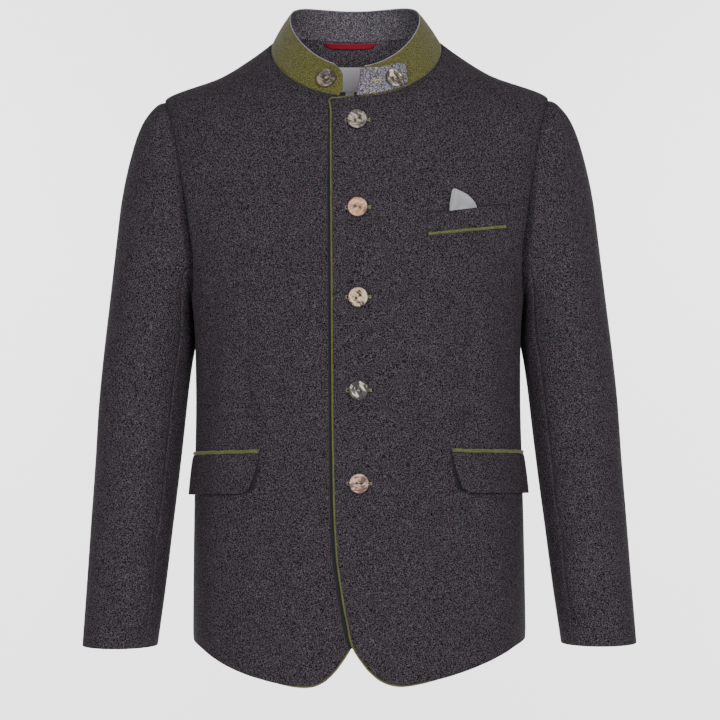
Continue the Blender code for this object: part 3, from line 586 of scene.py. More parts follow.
ARMHOLE_DEPTHS = (0.062, 0.070)  # ahead of the shoulder line and behind it
DART = ((-0.780, 0.1120), (-0.620, 0.1180), (-0.4665, 0.1236), (-0.290, 0.1300), (-0.150, 0.1290))
DART_ENDS = (-0.478, -0.282)
FRONT_WIDTH, TO_DART, BACK_WIDTH = 0.33, 0.16, 0.30  # round the coat, for the spacing of columns
HEM_SAMPLE = -0.730  # level at which the hem's columns are spread
DART_TOP = -0.22  # above it the dart's column keeps its share of the row
NECK_BAND = 0.0159  # how far below the neck its rows dip towards centre front
ARMHOLE_TURNS = 48

armhole_turn = np.arange(ARMHOLE_TURNS + 1) * np.pi / ARMHOLE_TURNS
armhole_levels = UNDERARM + (SHOULDER_TIP - UNDERARM) * (1 - np.cos(armhole_turn)) / 2
print("The armhole is", round((SHOULDER_TIP - UNDERARM) * 1000), "mm high")


# %% Rows and columns of the fronts and backs
def row_levels(hem):
    """Levels of the rows from the hem to the neck, with the numbers of the underarm and shoulder rows."""
    rise = -SHOULDER_TIP
    low = close_by(1.0, (0.0,), 0.006, 0.035, 0.03)[:-1, None]
    middle = HEM_ROWS_END + close_by(UNDERARM - HEM_ROWS_END, (0.3,), 0.0008, 0.005, 0.010)
    shoulder = SHOULDER_TIP + close_by(rise, (rise,), 0.0005, 0.0022, 0.0035)[1:]
    fixed = np.concatenate([middle, armhole_levels[1:], shoulder])[:, None]
    fixed = np.broadcast_to(fixed, (len(fixed), len(hem)))
    levels = np.concatenate([hem + (HEM_ROWS_END - hem) * low, fixed])
    underarm = len(low) + len(middle) - 1
    return levels, underarm, underarm + ARMHOLE_TURNS


def side_angles(levels, underarm, tip, side):
    """The side seam at 90 degrees, and above it the armhole: its depth is a sine to the power 0.85."""
    end = np.full(len(levels), 90.0)
    depth = ARMHOLE_DEPTHS[side] * np.sin(armhole_turn) ** 0.85
    end[underarm : tip + 1] = angle_at_depth(depth, armhole_levels, side)
    return end


front_columns = close_by(
    FRONT_WIDTH, (0.0, TO_DART, FRONT_WIDTH), 0.0007, 0.005, 0.005, [(0.040, 0.0025, 0.015)]
)
front_columns = front_columns / FRONT_WIDTH
dart_column = int(np.argmin(np.abs(front_columns - TO_DART / FRONT_WIDTH)))


def warped(share, dart_share):
    """Shares of a row whose dart column comes to lie at the dart's own share, straight on each side."""
    middle = front_columns[dart_column]
    beyond = dart_share + (share - middle) / (1 - middle) * (1 - dart_share)
    return np.where(share < middle, share / middle * dart_share, beyond)


print("A front has", len(front_columns), "columns")


# %% Grids of the fronts and backs
def front_grid(shift, neck_start, neck_length, neck_drop, hem_rise):
    """Angles and levels of a front, from its edge to its side seam.

    The shift moves the edge. The neck drops by its drop over its length, from its start at centre
    front. The hem rises by the first number of hem_rise, most where a power of the way is a half.
    """
    corner = FRONT_EDGE[0][1] + shift
    start = angle_at_x(corner, FRONT_EDGE[0][0])
    dart = (angle_at_x(through_rows(DART, HEM_SAMPLE)[0], HEM_SAMPLE) - start) / (90 - start)
    hem_x = body(start + (90 - start) * warped(front_columns, dart), HEM_SAMPLE)[:, 0]
    along = (hem_x - corner) / (hem_x[-1] - corner)
    rise, power = hem_rise
    hem = through_rows(FRONT_HEM, along)[:, 0] + rise * np.sin(np.pi * np.clip(along, 0, 1) ** power)
    levels, underarm, tip = row_levels(hem)
    row = levels[:, 0]
    edge_x = through_rows(FRONT_EDGE, body(np.zeros(len(row)), row)[:, 2])[:, 0]
    below_neck = np.clip(NECK_CORNER + row, 0, NECK_CORNER)
    edge_x = edge_x + NECK_CORNER - np.sqrt(NECK_CORNER**2 - below_neck**2)
    first = angle_at_x(edge_x + shift, row)
    last = side_angles(levels, underarm, tip, 0)
    dart_level = np.minimum(row, DART_TOP)
    dart = angle_at_x(through_rows(DART, dart_level)[:, 0], dart_level)
    dart_share = (dart - first) / (last - first)
    held = dart_share[np.argmin(np.abs(row - DART_TOP))]
    dart_share = np.where(row > DART_TOP, held, dart_share)[:, None]
    angles = first[:, None] + (last - first)[:, None] * warped(front_columns, dart_share)
    drop = neck_drop * np.clip((neck_start - body(angles[-1], 0.0)[:, 0]) / neck_length, 0, 1) ** 1.3
    levels = levels - drop * np.clip(row[:, None] / NECK_BAND + 1, 0, 1)
    return angles, levels, underarm, tip


def back_grid():
    """Angles and levels of the wearer's left back, from its side seam to the centre back seam."""
    share = close_by(BACK_WIDTH, (0.0, BACK_WIDTH), 0.0007, 0.005, 0.005) / BACK_WIDTH
    hem = SIDE_HEM + (CENTRE_BACK_HEM - SIDE_HEM) * ease(0, 1, share)
    levels, underarm, tip = row_levels(hem)
    first = side_angles(levels, underarm, tip, 1)
    return first[:, None] + (180 - first)[:, None] * share, levels, underarm, tip


left_front = front_grid(0.0, neck_start=-0.002, neck_length=0.028, neck_drop=0.0072, hem_rise=(0.0028, 2.2))
right_front = front_grid(
    -2 * CENTRE_FRONT, neck_start=0.0185, neck_length=0.010, neck_drop=0.0050, hem_rise=(-0.0013, 1.2)
)
left_back = back_grid()
print("A front's grid is", left_front[0].shape, "and a back's", left_back[0].shape)

# %% [markdown]
# A two-piece sleeve is a bent tube. Each of its rings lies between an outer and an inner point, and
# the first rings change from the armhole's own curve into plain ovals, which makes the sleeve head.

# %% The sleeve's form
SLEEVE = (  # outer x and z, inner x and z, depth ahead and behind, centre y, share of the armhole's curve
    (0.2305, -0.0636, 0.1985, -0.2998, 0.062, 0.070, 0.000, 1.00),
    (0.2420, -0.0706, 0.2000, -0.2992, 0.064, 0.071, 0.000, 0.80),
    (0.2530, -0.0832, 0.2008, -0.3008, 0.065, 0.072, 0.000, 0.60),
    (0.2625, -0.1015, 0.1998, -0.3040, 0.066, 0.073, 0.003, 0.42),
    (0.2705, -0.1255, 0.1988, -0.3085, 0.067, 0.074, 0.006, 0.26),
    (0.2780, -0.1540, 0.1977, -0.3150, 0.068, 0.075, 0.010, 0.12),
    (0.2845, -0.1870, 0.1965, -0.3230, 0.069, 0.075, 0.014, 0.04),
    (0.2892, -0.2220, 0.1955, -0.3330, 0.069, 0.075, 0.017, 0.00),
    (0.2938, -0.2600, 0.1950, -0.3430, 0.069, 0.074, 0.018, 0.00),
    (0.2985, -0.3010, 0.1955, -0.3540, 0.068, 0.073, 0.016, 0.00),
    (0.3045, -0.3560, 0.1990, -0.3760, 0.067, 0.071, 0.010, 0.00),
    (0.3085, -0.4000, 0.2030, -0.4060, 0.065, 0.068, 0.005, 0.00),
    (0.3126, -0.4560, 0.2088, -0.4600, 0.062, 0.065, 0.000, 0.00),
    (0.3165, -0.5130, 0.2150, -0.5140, 0.060, 0.062, -0.003, 0.00),
    (0.3204, -0.5710, 0.2220, -0.5712, 0.057, 0.058, -0.009, 0.00),
    (0.3247, -0.6420, 0.2303, -0.6420, 0.052, 0.052, -0.019, 0.00),
    (0.3290, -0.7110, 0.2395, -0.7110, 0.046, 0.046, -0.030, 0.00),
)
FOREARM_SEAM, HINDARM_SEAM = 135.0, 240.0  # degrees round the sleeve from its top, past the front

front_side = (left_front[0][:, -1], left_front[1][:, -1])
back_side = (left_back[0][:, 0], left_back[1][:, 0])
rows = slice(left_front[2], left_front[3] + 1)
ring_angle = np.concatenate([front_side[0][rows][::-1], back_side[0][rows][1:-1]])
ring_level = np.concatenate([front_side[1][rows][::-1], back_side[1][rows][1:-1]])
armhole, armhole_facing = body(ring_angle, ring_level), body_facing(ring_angle, ring_level)


def sleeve_rings():
    """Rings of x = middle + half cos t, y = centre - depth sin t, blended into the armhole at the top."""
    turn = np.arange(2 * ARMHOLE_TURNS) * np.pi / ARMHOLE_TURNS
    table = np.array(SLEEVE)
    count = len(table)
    centre = (table[:, [0, 1]] + table[:, [2, 3]]) / 2
    walked = np.append(0, np.cumsum(np.linalg.norm(np.diff(centre, axis=0), axis=1)))
    by_row = np.column_stack([np.arange(count), table])
    steps = close_by(walked[-1], (0.0, walked[-1]), 0.0007, 0.0048, 0.006)
    at = np.interp(steps, walked, np.arange(count))
    columns = through_rows(by_row, at).T[:, :, None]
    outer_x, outer_z, inner_x, inner_z, ahead, behind, centre_y, share = columns
    lean, sideways = np.cos(turn), np.sin(turn)
    x = (outer_x + inner_x) / 2 + (outer_x - inner_x) / 2 * lean
    z = (outer_z + inner_z) / 2 + (outer_z - inner_z) / 2 * lean
    y = centre_y - np.where(sideways > 0, ahead, behind) * sideways
    rings = np.stack([x, y, z], axis=-1)
    return rings + share[..., None] * (armhole - rings[0])


def ring_facing(rings):
    """Outward direction of a tube: along each ring, crossed with the way down."""
    around = np.roll(rings, -1, axis=1) - np.roll(rings, 1, axis=1)
    return unit(np.cross(around, np.gradient(rings, axis=0)))


def mitre(first, second):
    """Direction and length that offset two meeting faces by one thickness: (a + b) / (1 + a.b)."""
    dot = np.clip(np.sum(first * second, axis=-1, keepdims=True), 0, 1)
    return (first + second) / (1 + dot)


sleeve = sleeve_rings()
sleeve_facing = ring_facing(sleeve)
armhole_mitre = mitre(armhole_facing, sleeve_facing[4])
print("The sleeve has", len(sleeve), "rings of", sleeve.shape[1], "points")

# %% [markdown]
# Worn wool lies in long soft folds, not sharp ones. Each crease here is a line with a width and a
# height, negative for a trough, which fades out towards both its ends. They are given one by one.

# %% Folds in the cloth
def folds(points, creases):
    """Sum of soft ridges over a grid of points that are seen flat, as two coordinates.

    Each is height x exp(-(distance / width)^2) x a window that eases in and out along its length.
    """
    total = np.zeros(points.shape[:-1])
    for start, end, width, height in creases:
        start, end = np.array(start), np.array(end)
        line = end - start
        length = np.linalg.norm(line)
        along = (points - start) @ line / length**2
        off = (points - start) @ np.array((-line[1], line[0])) / length
        window = ease(-0.05, 0.35, along) * (1 - ease(0.60, 1.05, along))
        total += height * np.exp(-((off / width) ** 2)) * window
    return total


def seam_dip(away, deep=0.0011, wide=0.0017):
    """A pressed seam: the cloth turns in by this depth within this distance of the stitching."""
    return -deep * np.exp(-((away / wide) ** 2))


def armhole_dip(away, level):
    """The armhole's seam, which sinks into a deep crease where the sleeve folds against the chest."""
    low = ease(-0.12, -0.21, level) * ease(UNDERARM, -0.285, level)
    return seam_dip(away, 0.0011 + 0.0045 * low, 0.0017 + 0.0018 * low)


def side_dip(away, level):
    """The side seam's dip, which eases in below the level of the armhole's end."""
    return seam_dip(away, 0.0007 * ease(-0.36, -0.40, level)) * (level < UNDERARM)


def near_armhole(points):
    """Distance of each point from the armhole, as the least distance from its close-set points."""
    ring = np.concatenate([armhole, armhole[:1]])
    at = np.linspace(0, len(armhole), 900)
    fine = np.stack([np.interp(at, np.arange(len(ring)), ring[:, axis]) for axis in range(3)], 1)
    flat = points.reshape(-1, 3)
    near = flat[:, 2] > UNDERARM - 0.03
    least = np.full(len(flat), 1.0)
    square = (flat[near] ** 2).sum(1)[:, None] + (fine**2).sum(1) - 2 * flat[near] @ fine.T
    least[near] = np.sqrt(np.maximum(square.min(1), 0))
    return least.reshape(points.shape[:-1])


def turned_in(inward, away, armhole_way):
    """Next to the armhole a panel's inward way turns into the mitre of the seam, within 4 mm."""
    share = (1 - ease(0.0, 0.004, away))[..., None]
    return inward * (1 - share) + armhole_way * share


print("A seam dips", seam_dip(0.0) * -1000, "mm")

# %% Fronts
FRONT_FOLDS = (  # start (x, z), end (x, z), width, height: the chest drapes from the armhole to the hem
    ((0.165, -0.20), (0.178, -0.46), 0.012, -0.0022),
    ((0.150, -0.30), (0.160, -0.56), 0.016, 0.0018),
    ((0.060, -0.22), (0.070, -0.60), 0.022, 0.0016),
    ((0.095, -0.50), (0.120, -0.74), 0.018, -0.0020),
    ((0.155, -0.50), (0.175, -0.73), 0.014, 0.0022),
    ((0.020, -0.46), (0.050, -0.72), 0.016, -0.0014),
    ((0.150, -0.09), (0.185, -0.19), 0.012, -0.0016),
    ((0.070, -0.06), (0.130, -0.17), 0.018, 0.0012),
)
EDGE_CORD = 0.0022  # width of the fronts' piping
PIPED_SHARE = 0.45  # of the way from the cutaway corner to the side seam
UNDERLAP = CLOTH + 0.0008  # how deep the under front lies below the lapping one


def front_folds(points):
    """The fronts' folds, read at x and z, so that what lies on a front follows it."""
    return folds(points[..., [0, 2]], FRONT_FOLDS)


def dart_dip(to_dart, levels):
    """The dart: a stitched line in a soft hollow, both fading out towards its ends."""
    low, high = DART_ENDS
    window = ease(low, low + 0.01, levels) * (1 - ease(high - 0.03, high, levels))
    return window * (seam_dip(to_dart, 0.0015, 0.0009) + seam_dip(to_dart, 0.0012, 0.009))


def make_front(side, grid):
    """A front's wall. The wearer's left laps over, so the right one is tucked in beside its edge."""
    angles, levels, underarm, tip = grid
    mirrored = side == "right"
    points, inward = body(angles, levels), body_facing(angles, levels)
    up, down, from_edge, from_side = from_borders(points)
    to_armhole = near_armhole(points)
    seam_rows = np.s_[underarm : tip + 1]
    mitred = armhole_mitre[: ARMHOLE_TURNS + 1][::-1][:, None]
    inward[seam_rows] = turned_in(inward[seam_rows], to_armhole[seam_rows], mitred)
    relief = front_folds(points)
    relief += np.minimum(armhole_dip(to_armhole, levels), side_dip(from_side, levels))
    relief += seam_dip(down) * (angles > 0.4)
    relief += dart_dip(np.abs(from_edge - from_edge[:, [dart_column]]), levels)
    relief += 0.0006 * ease(0.0, 0.012, up) - 0.0006
    tuck = -0.0010 * (1 - ease(0.004, 0.028, from_edge)) * ease(0.002, 0.03, down)
    if mirrored:
        beyond = points[..., 0] + through_rows(FRONT_EDGE, points[..., 2])[..., 0]
        tuck = UNDERLAP * (1 - ease(0.005, 0.019, beyond))
        relief = relief * ease(0.0, 0.02, beyond - 0.004)
    hem_back = EDGE_CORD * (1 - ease(PIPED_SHARE - 0.25, PIPED_SHARE, front_columns)) + CLOTH / 2
    edge_back = EDGE_CORD * (1 - 0.5 * ease(-0.729, -0.690, levels[:, 0])) + CLOTH / 2
    points = points + (relief - tuck)[..., None] * inward
    points = draw_back(points, inward, (hem_back, 0.0, edge_back, 0.0))
    piece = cloth_wall(f"front_{side}_cloth", points, inward, swell=(1, 0, 1, 0), mirrored=mirrored)
    sew_on(piece, coat_wool, f"front_{side}")
    print(piece.name, "has", len(piece.data.polygons), "faces")
    return points, inward


left_points, left_inward = make_front("left", left_front)
right_points, right_inward = make_front("right", right_front)

# %% [markdown]
# The back is two panels that meet in a seam down its middle. It hangs free behind the armholes and
# breaks softly at the waist. Both panels are one grid, which is mirrored for the wearer's right.

# %% Backs
BACK_FOLDS = (  # start (x, z), end (x, z), width, height: a free fold behind each armhole, then the waist
    ((0.160, -0.12), (0.176, -0.34), 0.012, 0.0026),
    ((0.140, -0.16), (0.150, -0.40), 0.014, -0.0020),
    ((0.060, -0.36), (0.150, -0.42), 0.014, -0.0014),
    ((0.040, -0.40), (0.140, -0.455), 0.013, 0.0012),
    ((0.110, -0.48), (0.125, -0.70), 0.018, 0.0022),
    ((0.060, -0.50), (0.066, -0.70), 0.018, -0.0016),
    ((0.050, -0.06), (0.120, -0.10), 0.020, 0.0012),
)


def make_back(side):
    """A back's wall, which dips along the armhole, the side seam, the neck and the centre seam."""
    angles, levels, underarm, tip = left_back
    points, inward = body(angles, levels), body_facing(angles, levels)
    _, down, from_side, from_centre = from_borders(points)
    to_armhole = near_armhole(points)
    seam_rows = np.s_[underarm : tip + 1]
    ring = np.append(np.arange(ARMHOLE_TURNS, 2 * ARMHOLE_TURNS), 0)
    inward[seam_rows] = turned_in(inward[seam_rows], to_armhole[seam_rows], armhole_mitre[ring][:, None])
    relief = folds(points[..., [0, 2]], BACK_FOLDS)
    relief += np.minimum(armhole_dip(to_armhole, levels), side_dip(from_side, levels))
    relief += seam_dip(down) + seam_dip(from_centre, 0.0009, 0.0015)
    points = points + relief[..., None] * inward
    points = draw_back(points, inward, (CLOTH / 2, 0.0, 0.0, 0.0))
    piece = cloth_wall(f"back_{side}_cloth", points, inward, swell=(1, 0, 0, 0), mirrored=side == "right")
    sew_on(piece, coat_wool, f"back_{side}")


for side in ("left", "right"):
    make_back(side)
print("Two backs, joined by a centre back seam")

# %% [markdown]
# A sleeve hangs a little forward of its seam, so its cloth breaks at the bend of the elbow and below
# the armhole. Its folds are given by degrees round the sleeve and metres down it.

# %% Sleeves
SLEEVE_FOLDS = (  # start (degrees, metres down), end, width in metres, height
    ((70, 0.05), (40, 0.17), 0.012, -0.0016),
    ((100, 0.10), (75, 0.26), 0.012, 0.0018),
    ((120, 0.20), (70, 0.30), 0.010, -0.0020),
    ((150, 0.26), (80, 0.335), 0.011, 0.0022),
    ((165, 0.31), (95, 0.36), 0.010, -0.0024),
    ((150, 0.36), (85, 0.42), 0.012, 0.0018),
    ((110, 0.40), (60, 0.52), 0.014, -0.0014),
    ((40, 0.24), (15, 0.44), 0.016, 0.0016),
    ((250, 0.06), (285, 0.20), 0.014, 0.0022),
    ((230, 0.14), (262, 0.30), 0.012, -0.0020),
    ((225, 0.30), (290, 0.35), 0.012, -0.0020),
    ((235, 0.36), (300, 0.42), 0.013, 0.0020),
    ((310, 0.30), (335, 0.50), 0.018, -0.0014),
)
RING_RADIUS = 0.062  # turns degrees round the sleeve into metres
UNROLLED_FOLDS = [
    ((math.radians(a) * RING_RADIUS, b), (math.radians(c) * RING_RADIUS, d), width, height)
    for (a, b), (c, d), width, height in SLEEVE_FOLDS
]


def make_sleeve(name, side, first, last):
    """The tube's columns from the first to the last, in degrees, as one piece.

    The folds are laid on it three times, a full turn apart, so that they run on over its seams.
    """
    count = sleeve.shape[1]
    turns = np.arange(round(first / 360 * count), round(last / 360 * count) + 1)
    points, facing = sleeve[:, turns % count], sleeve_facing[:, turns % count]
    down, _, from_first, from_last = from_borders(points)
    degrees = np.broadcast_to(turns * 360.0 / count, down.shape)
    inward = turned_in(facing, down, armhole_mitre[turns % count][None])
    relief = np.zeros(down.shape)
    for shift in (-360.0, 0.0, 360.0):
        relief += folds(np.stack([np.radians(degrees + shift) * RING_RADIUS, down], -1), UNROLLED_FOLDS)
    relief += armhole_dip(down, ring_level[turns % count])
    relief += seam_dip(from_first, 0.0003, 0.0016) + seam_dip(from_last, 0.0003, 0.0016)
    relief += 0.0008 * np.exp(-(((down - 0.008) / 0.006) ** 2))
    points = points + relief[..., None] * inward
    points = draw_back(points, inward, (0.0, CLOTH / 2, 0.0, 0.0))
    piece = cloth_wall(f"{name}_{side}_cloth", points, inward, swell=(0, 1, 0, 0), mirrored=side == "right")
    sew_on(piece, sleeve_wool_painted_light, f"{name}_{side}")


for side in ("left", "right"):
    make_sleeve("upper_sleeve", side, HINDARM_SEAM - 360.0, FOREARM_SEAM)
    make_sleeve("under_sleeve", side, FOREARM_SEAM, HINDARM_SEAM)
print("Each sleeve is an upper and an under piece")

# %% [markdown]
# The stand collar is two plies: olive felt outside and grey melange inside. It follows the neck seam
# and rises to an edge that leans back. Its wearer's left end folds over outward and is buttoned down
# as a tab, which shows the grey inside.

# %% The collar's form
COLLAR_TOP_LEVEL = 0.037
COLLAR_TOP = (-0.031, 0.053, 0.0786, 0.078, 0.066, 2.00, 0.65)  # columns as in the coat's sections
COLLAR_ENDS = (  # share of the height, and angle of the right and left ends there
    (0.00, -11.6, 1.4),
    (0.30, -9.4, 2.9),
    (0.62, -9.5, 5.0),
    (0.84, -11.6, 6.4),
    (1.00, -18.5, 7.4),
)
COLLAR_PLY = 0.0012
COLLAR_BOW = 0.0012  # how far it is rounded out between its seam and its top
COLLAR_LEAN = (-0.0016, 0.0, 0.0)  # its top sits a little to the wearer's right


def collar_point(angle, share):
    """A straight line from the neck seam, share 0, to the top edge, share 1, rounded out by its bow."""
    angle, share = np.broadcast_arrays(np.asarray(angle, float), np.asarray(share, float))
    foot = body(angle, np.zeros(angle.shape))
    top = on_section(angle, np.full(angle.shape, COLLAR_TOP_LEVEL), np.array(COLLAR_TOP)) + COLLAR_LEAN
    line = foot + (top - foot) * share[..., None]
    return line + COLLAR_BOW * np.sin(np.pi * share)[..., None] * unit(line * (1.0, 1.0, 0.0))


def collar_facing(angle, share):
    """Outward direction of the collar."""
    return facing_of(collar_point, np.asarray(angle, float), np.asarray(share, float), 0.3, 0.02)


def collar_ply(name, sunk, finish):
    """One ply: its grid runs from the left end round the back to the right end, sunk into the collar."""
    share = close_by(1.0, (0.0, 1.0), 0.012, 0.055, 0.05)[:, None]
    right, left = through_rows(COLLAR_ENDS, share[:, 0]).T[:, :, None]
    along = close_by(1.0, (0.0, 1.0), 0.0012, 0.006, 0.012)
    angle = left + (360 + right - left) * along
    share = np.broadcast_to(share, angle.shape)
    points, inward = collar_point(angle, share), collar_facing(angle, share)
    inward[0] = mitre(body_facing(angle[0] % 360, np.zeros(len(along))), inward[0])
    up, down, _, _ = from_borders(points)
    relief = seam_dip(up, 0.0009, 0.0015) - 0.0004 * np.exp(-((down / 0.0015) ** 2)) - sunk
    points = points + relief[..., None] * inward
    half = COLLAR_PLY / 2
    points = draw_back(points, inward, (0.0, half, half, half))
    piece = cloth_wall(f"{name}_cloth", points, inward, COLLAR_PLY, (0, 1, 1, 1))
    return sew_on(piece, finish, name)


height = float(np.ptp(collar_point(180.0, np.array((0.0, 1.0)))[:, 2]))
print("The collar stands", round(height, 3), "m at the back")

# %% [markdown]
# Felt is wool pressed until its fibres mat, so it shows no threads, only a fine clouded grain. Noise
# makes it as it makes the melange, with less contrast and no single hairs laid on top.

# %% Olive felt and grey wool
def felt(name, colour, contrast, blotch, scale):
    """Pressed felt: short matted fibre, faintly cloudy, with a soft nap."""
    finish, tree, surface, place = finish_named(name, 0.95, sheen=0.25, specular=0.18)
    matting = grain(tree, place, scale, 3.0, 0.6)
    fibres = grain(tree, place, 2400, 2.0)
    speckle = weigh(tree, matting, 0.6, fibres)
    dark, light = tone(colour, 1 - contrast), tone(colour, 1 + contrast)
    cloth = blend_colours(tree, [(0.43, dark), (0.50, colour), (0.57, light)], speckle)
    clouds = between(tree, 0.35, 0.65, grain(tree, place, 110, 3.0))
    cloth = mix(tree, clouds, mix(tree, 1.0, cloth, (*(1 - blotch,) * 3, 1), "MULTIPLY"), cloth)
    tree.links.new(cloth, surface.inputs["Base Color"])
    raise_up(tree, surface, speckle, 0.0003, 0.8)
    return finish


olive_felt = felt("olive_felt", OLIVE, 0.85, 0.12, 1050)
grey_melange = melange_wool("grey_melange_wool", tone(INNER_GREY, 0.94), 1.0, hairs=0.35, tuft=850)
# The tab's wool is painted lighter than the collar's inside, which is the same ply: painted light.
tab_wool_painted_light = melange_wool("grey_tab_wool", TAB_GREY_PAINTED_LIGHT, 0.85, hairs=0.2, tuft=700)
# The facing is the coat's charcoal painted 2.4 times lighter: painted light against the shade inside the
# neck.
facing_wool_painted_light = melange_wool("charcoal_facing", tone(CHARCOAL, 2.4), 0.9)
# The rim's pale grey is far lighter than the grey ply whose edge it is: a painted highlight.
pale_wool_painted_highlight = felt("pale_grey_wool_painted_highlight", (0.33, 0.32, 0.34), 0.35, 0.2, 1200)
collar_ply("collar_outer", 0.0, olive_felt)
collar_ply("collar_inner", COLLAR_PLY + GAP, grey_melange)
print("Two plies,", olive_felt.name, "outside and", grey_melange.name, "inside")


# %% The collar's rim
def collar_rim(along_top=500, down_end=59):
    """The grey ply's turned edge, which shows as a pale line along the collar's top and its right end: a
    painted highlight, far paler than the ply itself.
    """
    _, right, left = COLLAR_ENDS[-1]
    along = np.linspace(left + 0.6, 360 + right, along_top)
    down = np.linspace(1.0, 0.35, down_end + 1)[1:]
    end = 360 + through_rows(COLLAR_ENDS, down)[:, 0]
    angle, share = np.append(along, end), np.append(np.ones(along_top), down)
    facing = collar_facing(angle, np.minimum(share, 0.98))
    path = collar_point(angle, share) - 0.0010 * facing
    path[:along_top] += (0.0, 0.0, 0.0003)
    slim = np.append(np.ones(along_top), np.linspace(1, 0.3, down_end))
    return round_cord("collar_rim", path, facing, 0.0011, 0.0013, wobble=0.0001, slim=slim)


rim = sew_on(collar_rim(), pale_wool_painted_highlight)
print("The rim has", len(rim.data.polygons), "faces")

# %% [markdown]
# The tab is the collar's own left end, folded open. It rolls over the collar's edge in part of a
# circle and then lies on the collar, so its points are worked out from the collar's surface, each a
# ply further out. Its end is cut round, by a quarter of an ellipse at each corner.

# %% The tab
TAB_END, TAB_PLY = 38.0, 0.0022  # degrees from centre front to the tab's end, and its thickness
TAB_FOOT, TAB_TOP = 0.045, 0.915  # shares of the collar's height at its fold
TAB_CORNER = 0.27  # share of the tab's height that each corner of its end takes
ROLL_END, END_SLANT = 1.2, 2.2  # degrees that the roll takes, and that the end leans


def make_tab():
    """The collar's left end rolls over its own edge, then lies on the collar as far as the tab's end."""
    roll = COLLAR_PLY + GAP / 2
    shares = close_by(1.0, (0.0, 1.0), 0.02, 0.07, 0.08)
    heights = TAB_FOOT + (TAB_TOP - TAB_FOOT) * shares
    fold = through_rows(COLLAR_ENDS, heights)[:, 1]
    normal = collar_facing(fold, heights)
    ahead = unit(collar_point(fold - 0.5, heights) - collar_point(fold + 0.5, heights))
    root = collar_point(fold + 0.3, heights) - roll * normal
    outer, inner = [], []
    for bend in np.radians(np.linspace(-12, 68, 9)):
        way = ahead * math.cos(bend) + normal * math.sin(bend)
        outer.append(root + (roll + GAP + TAB_PLY) * way)
        inner.append(root + (roll + GAP) * way)
    for step in np.concatenate([np.linspace(0, 0.85, 22), 1 - 0.15 * (1 - np.linspace(0.1, 1, 9)) ** 1.6]):
        angle = fold + ROLL_END + (TAB_END - fold - ROLL_END + END_SLANT * (shares - 0.5)) * step
        top, low = TAB_TOP - 0.24 * step, TAB_FOOT + 0.01 * step
        near_end = np.clip((step - 0.84) / 0.16, 0, 1)
        corner = TAB_CORNER * (1 - math.sqrt(1 - near_end**2 * 0.999))
        share = low + (top - low) * (corner + (1 - 2 * corner) * shares)
        point, out = collar_point(angle, share), collar_facing(angle, share)
        puff = 0.0004 * np.sin(np.pi * shares) * (1 - step)
        outer.append(point + (GAP + TAB_PLY + puff)[:, None] * out)
        inner.append(point + GAP * out)
    outer, inner = np.stack(outer, 1), np.stack(inner, 1)
    return cloth_wall("collar_tab_cloth", outer, (outer - inner) / TAB_PLY, TAB_PLY, (0.7, 0.7, 0.5, 0.7))


tab = sew_on(make_tab(), tab_wool_painted_light, "collar_tab")
print("The tab is", round(tab.dimensions.x * 1000), "mm wide from the front")

# %% [markdown]
# Inside the back neck lie a facing of charcoal wool, a red hanger loop, a bare grey label and a small
# tab. The loop is a ribbon sewn down at its ends and standing off a little between them. The label
# and the ribbon are woven, so their threads follow each piece's own coordinates and not the coat's.

# %% Woven ribbon and label
def woven(name, colour, pitch, contrast, roughness):
    """Crossed threads from two sine waves of the cloth's own coordinates, in metres, a pitch apart."""
    finish, tree, surface, place = finish_named(name, roughness, sheen=0.1, specular=0.3)
    parts = add(tree, "SeparateXYZ", Vector=add(tree, "UVMap", {"uv_map": "cloth"}).outputs["UV"]).outputs
    turns = 2 * math.pi / pitch
    across = reckon(tree, "SINE", reckon(tree, "MULTIPLY", parts[0], turns), 0.0)
    along = reckon(tree, "SINE", reckon(tree, "MULTIPLY", parts[1], turns), 0.0)
    weave = weigh(tree, reckon(tree, "MULTIPLY", across, along), 0.5, 1.0)
    value = weigh(tree, weave, 0.6, grain(tree, place, 900, 3.0))
    dark, light = tone(colour, 1 - contrast), tone(colour, 1 + contrast)
    cloth = blend_colours(tree, [(0.2, dark), (0.5, colour), (0.8, light)], value)
    tree.links.new(cloth, surface.inputs["Base Color"])
    raise_up(tree, surface, value, pitch * 0.25, 0.8)
    return finish


ribbon = woven("red_ribbon", (0.30, 0.008, 0.026), 0.0009, 0.45, 0.55)
label_cloth = woven("grey_label", (0.66, 0.63, 0.66), 0.0006, 0.18, 0.6)
print("Woven finishes:", ribbon.name, label_cloth.name)


# %% Inside the neck
def back_relief(points):
    """The folds of both backs: those of the wearer's left, and the same mirrored."""
    flat = points[..., [0, 2]]
    return folds(flat, BACK_FOLDS) + folds(flat * (-1.0, 1.0), BACK_FOLDS)


angle = np.linspace(100, 260, 90)
level = SHOULDER_TIP + close_by(-SHOULDER_TIP, (0.0, -SHOULDER_TIP), 0.0005, 0.002, 0.003)[:, None]
level = np.broadcast_to(level, (len(level), len(angle)))
points, inward = body(angle, level), body_facing(angle, level)
points = points + (back_relief(points) - CLOTH - GAP)[..., None] * inward
facing_piece = cloth_wall("neck_facing_cloth", points, inward, THIN_PLY, (1, 0, 1, 1))
sew_on(facing_piece, facing_wool_painted_light, "neck_facing")


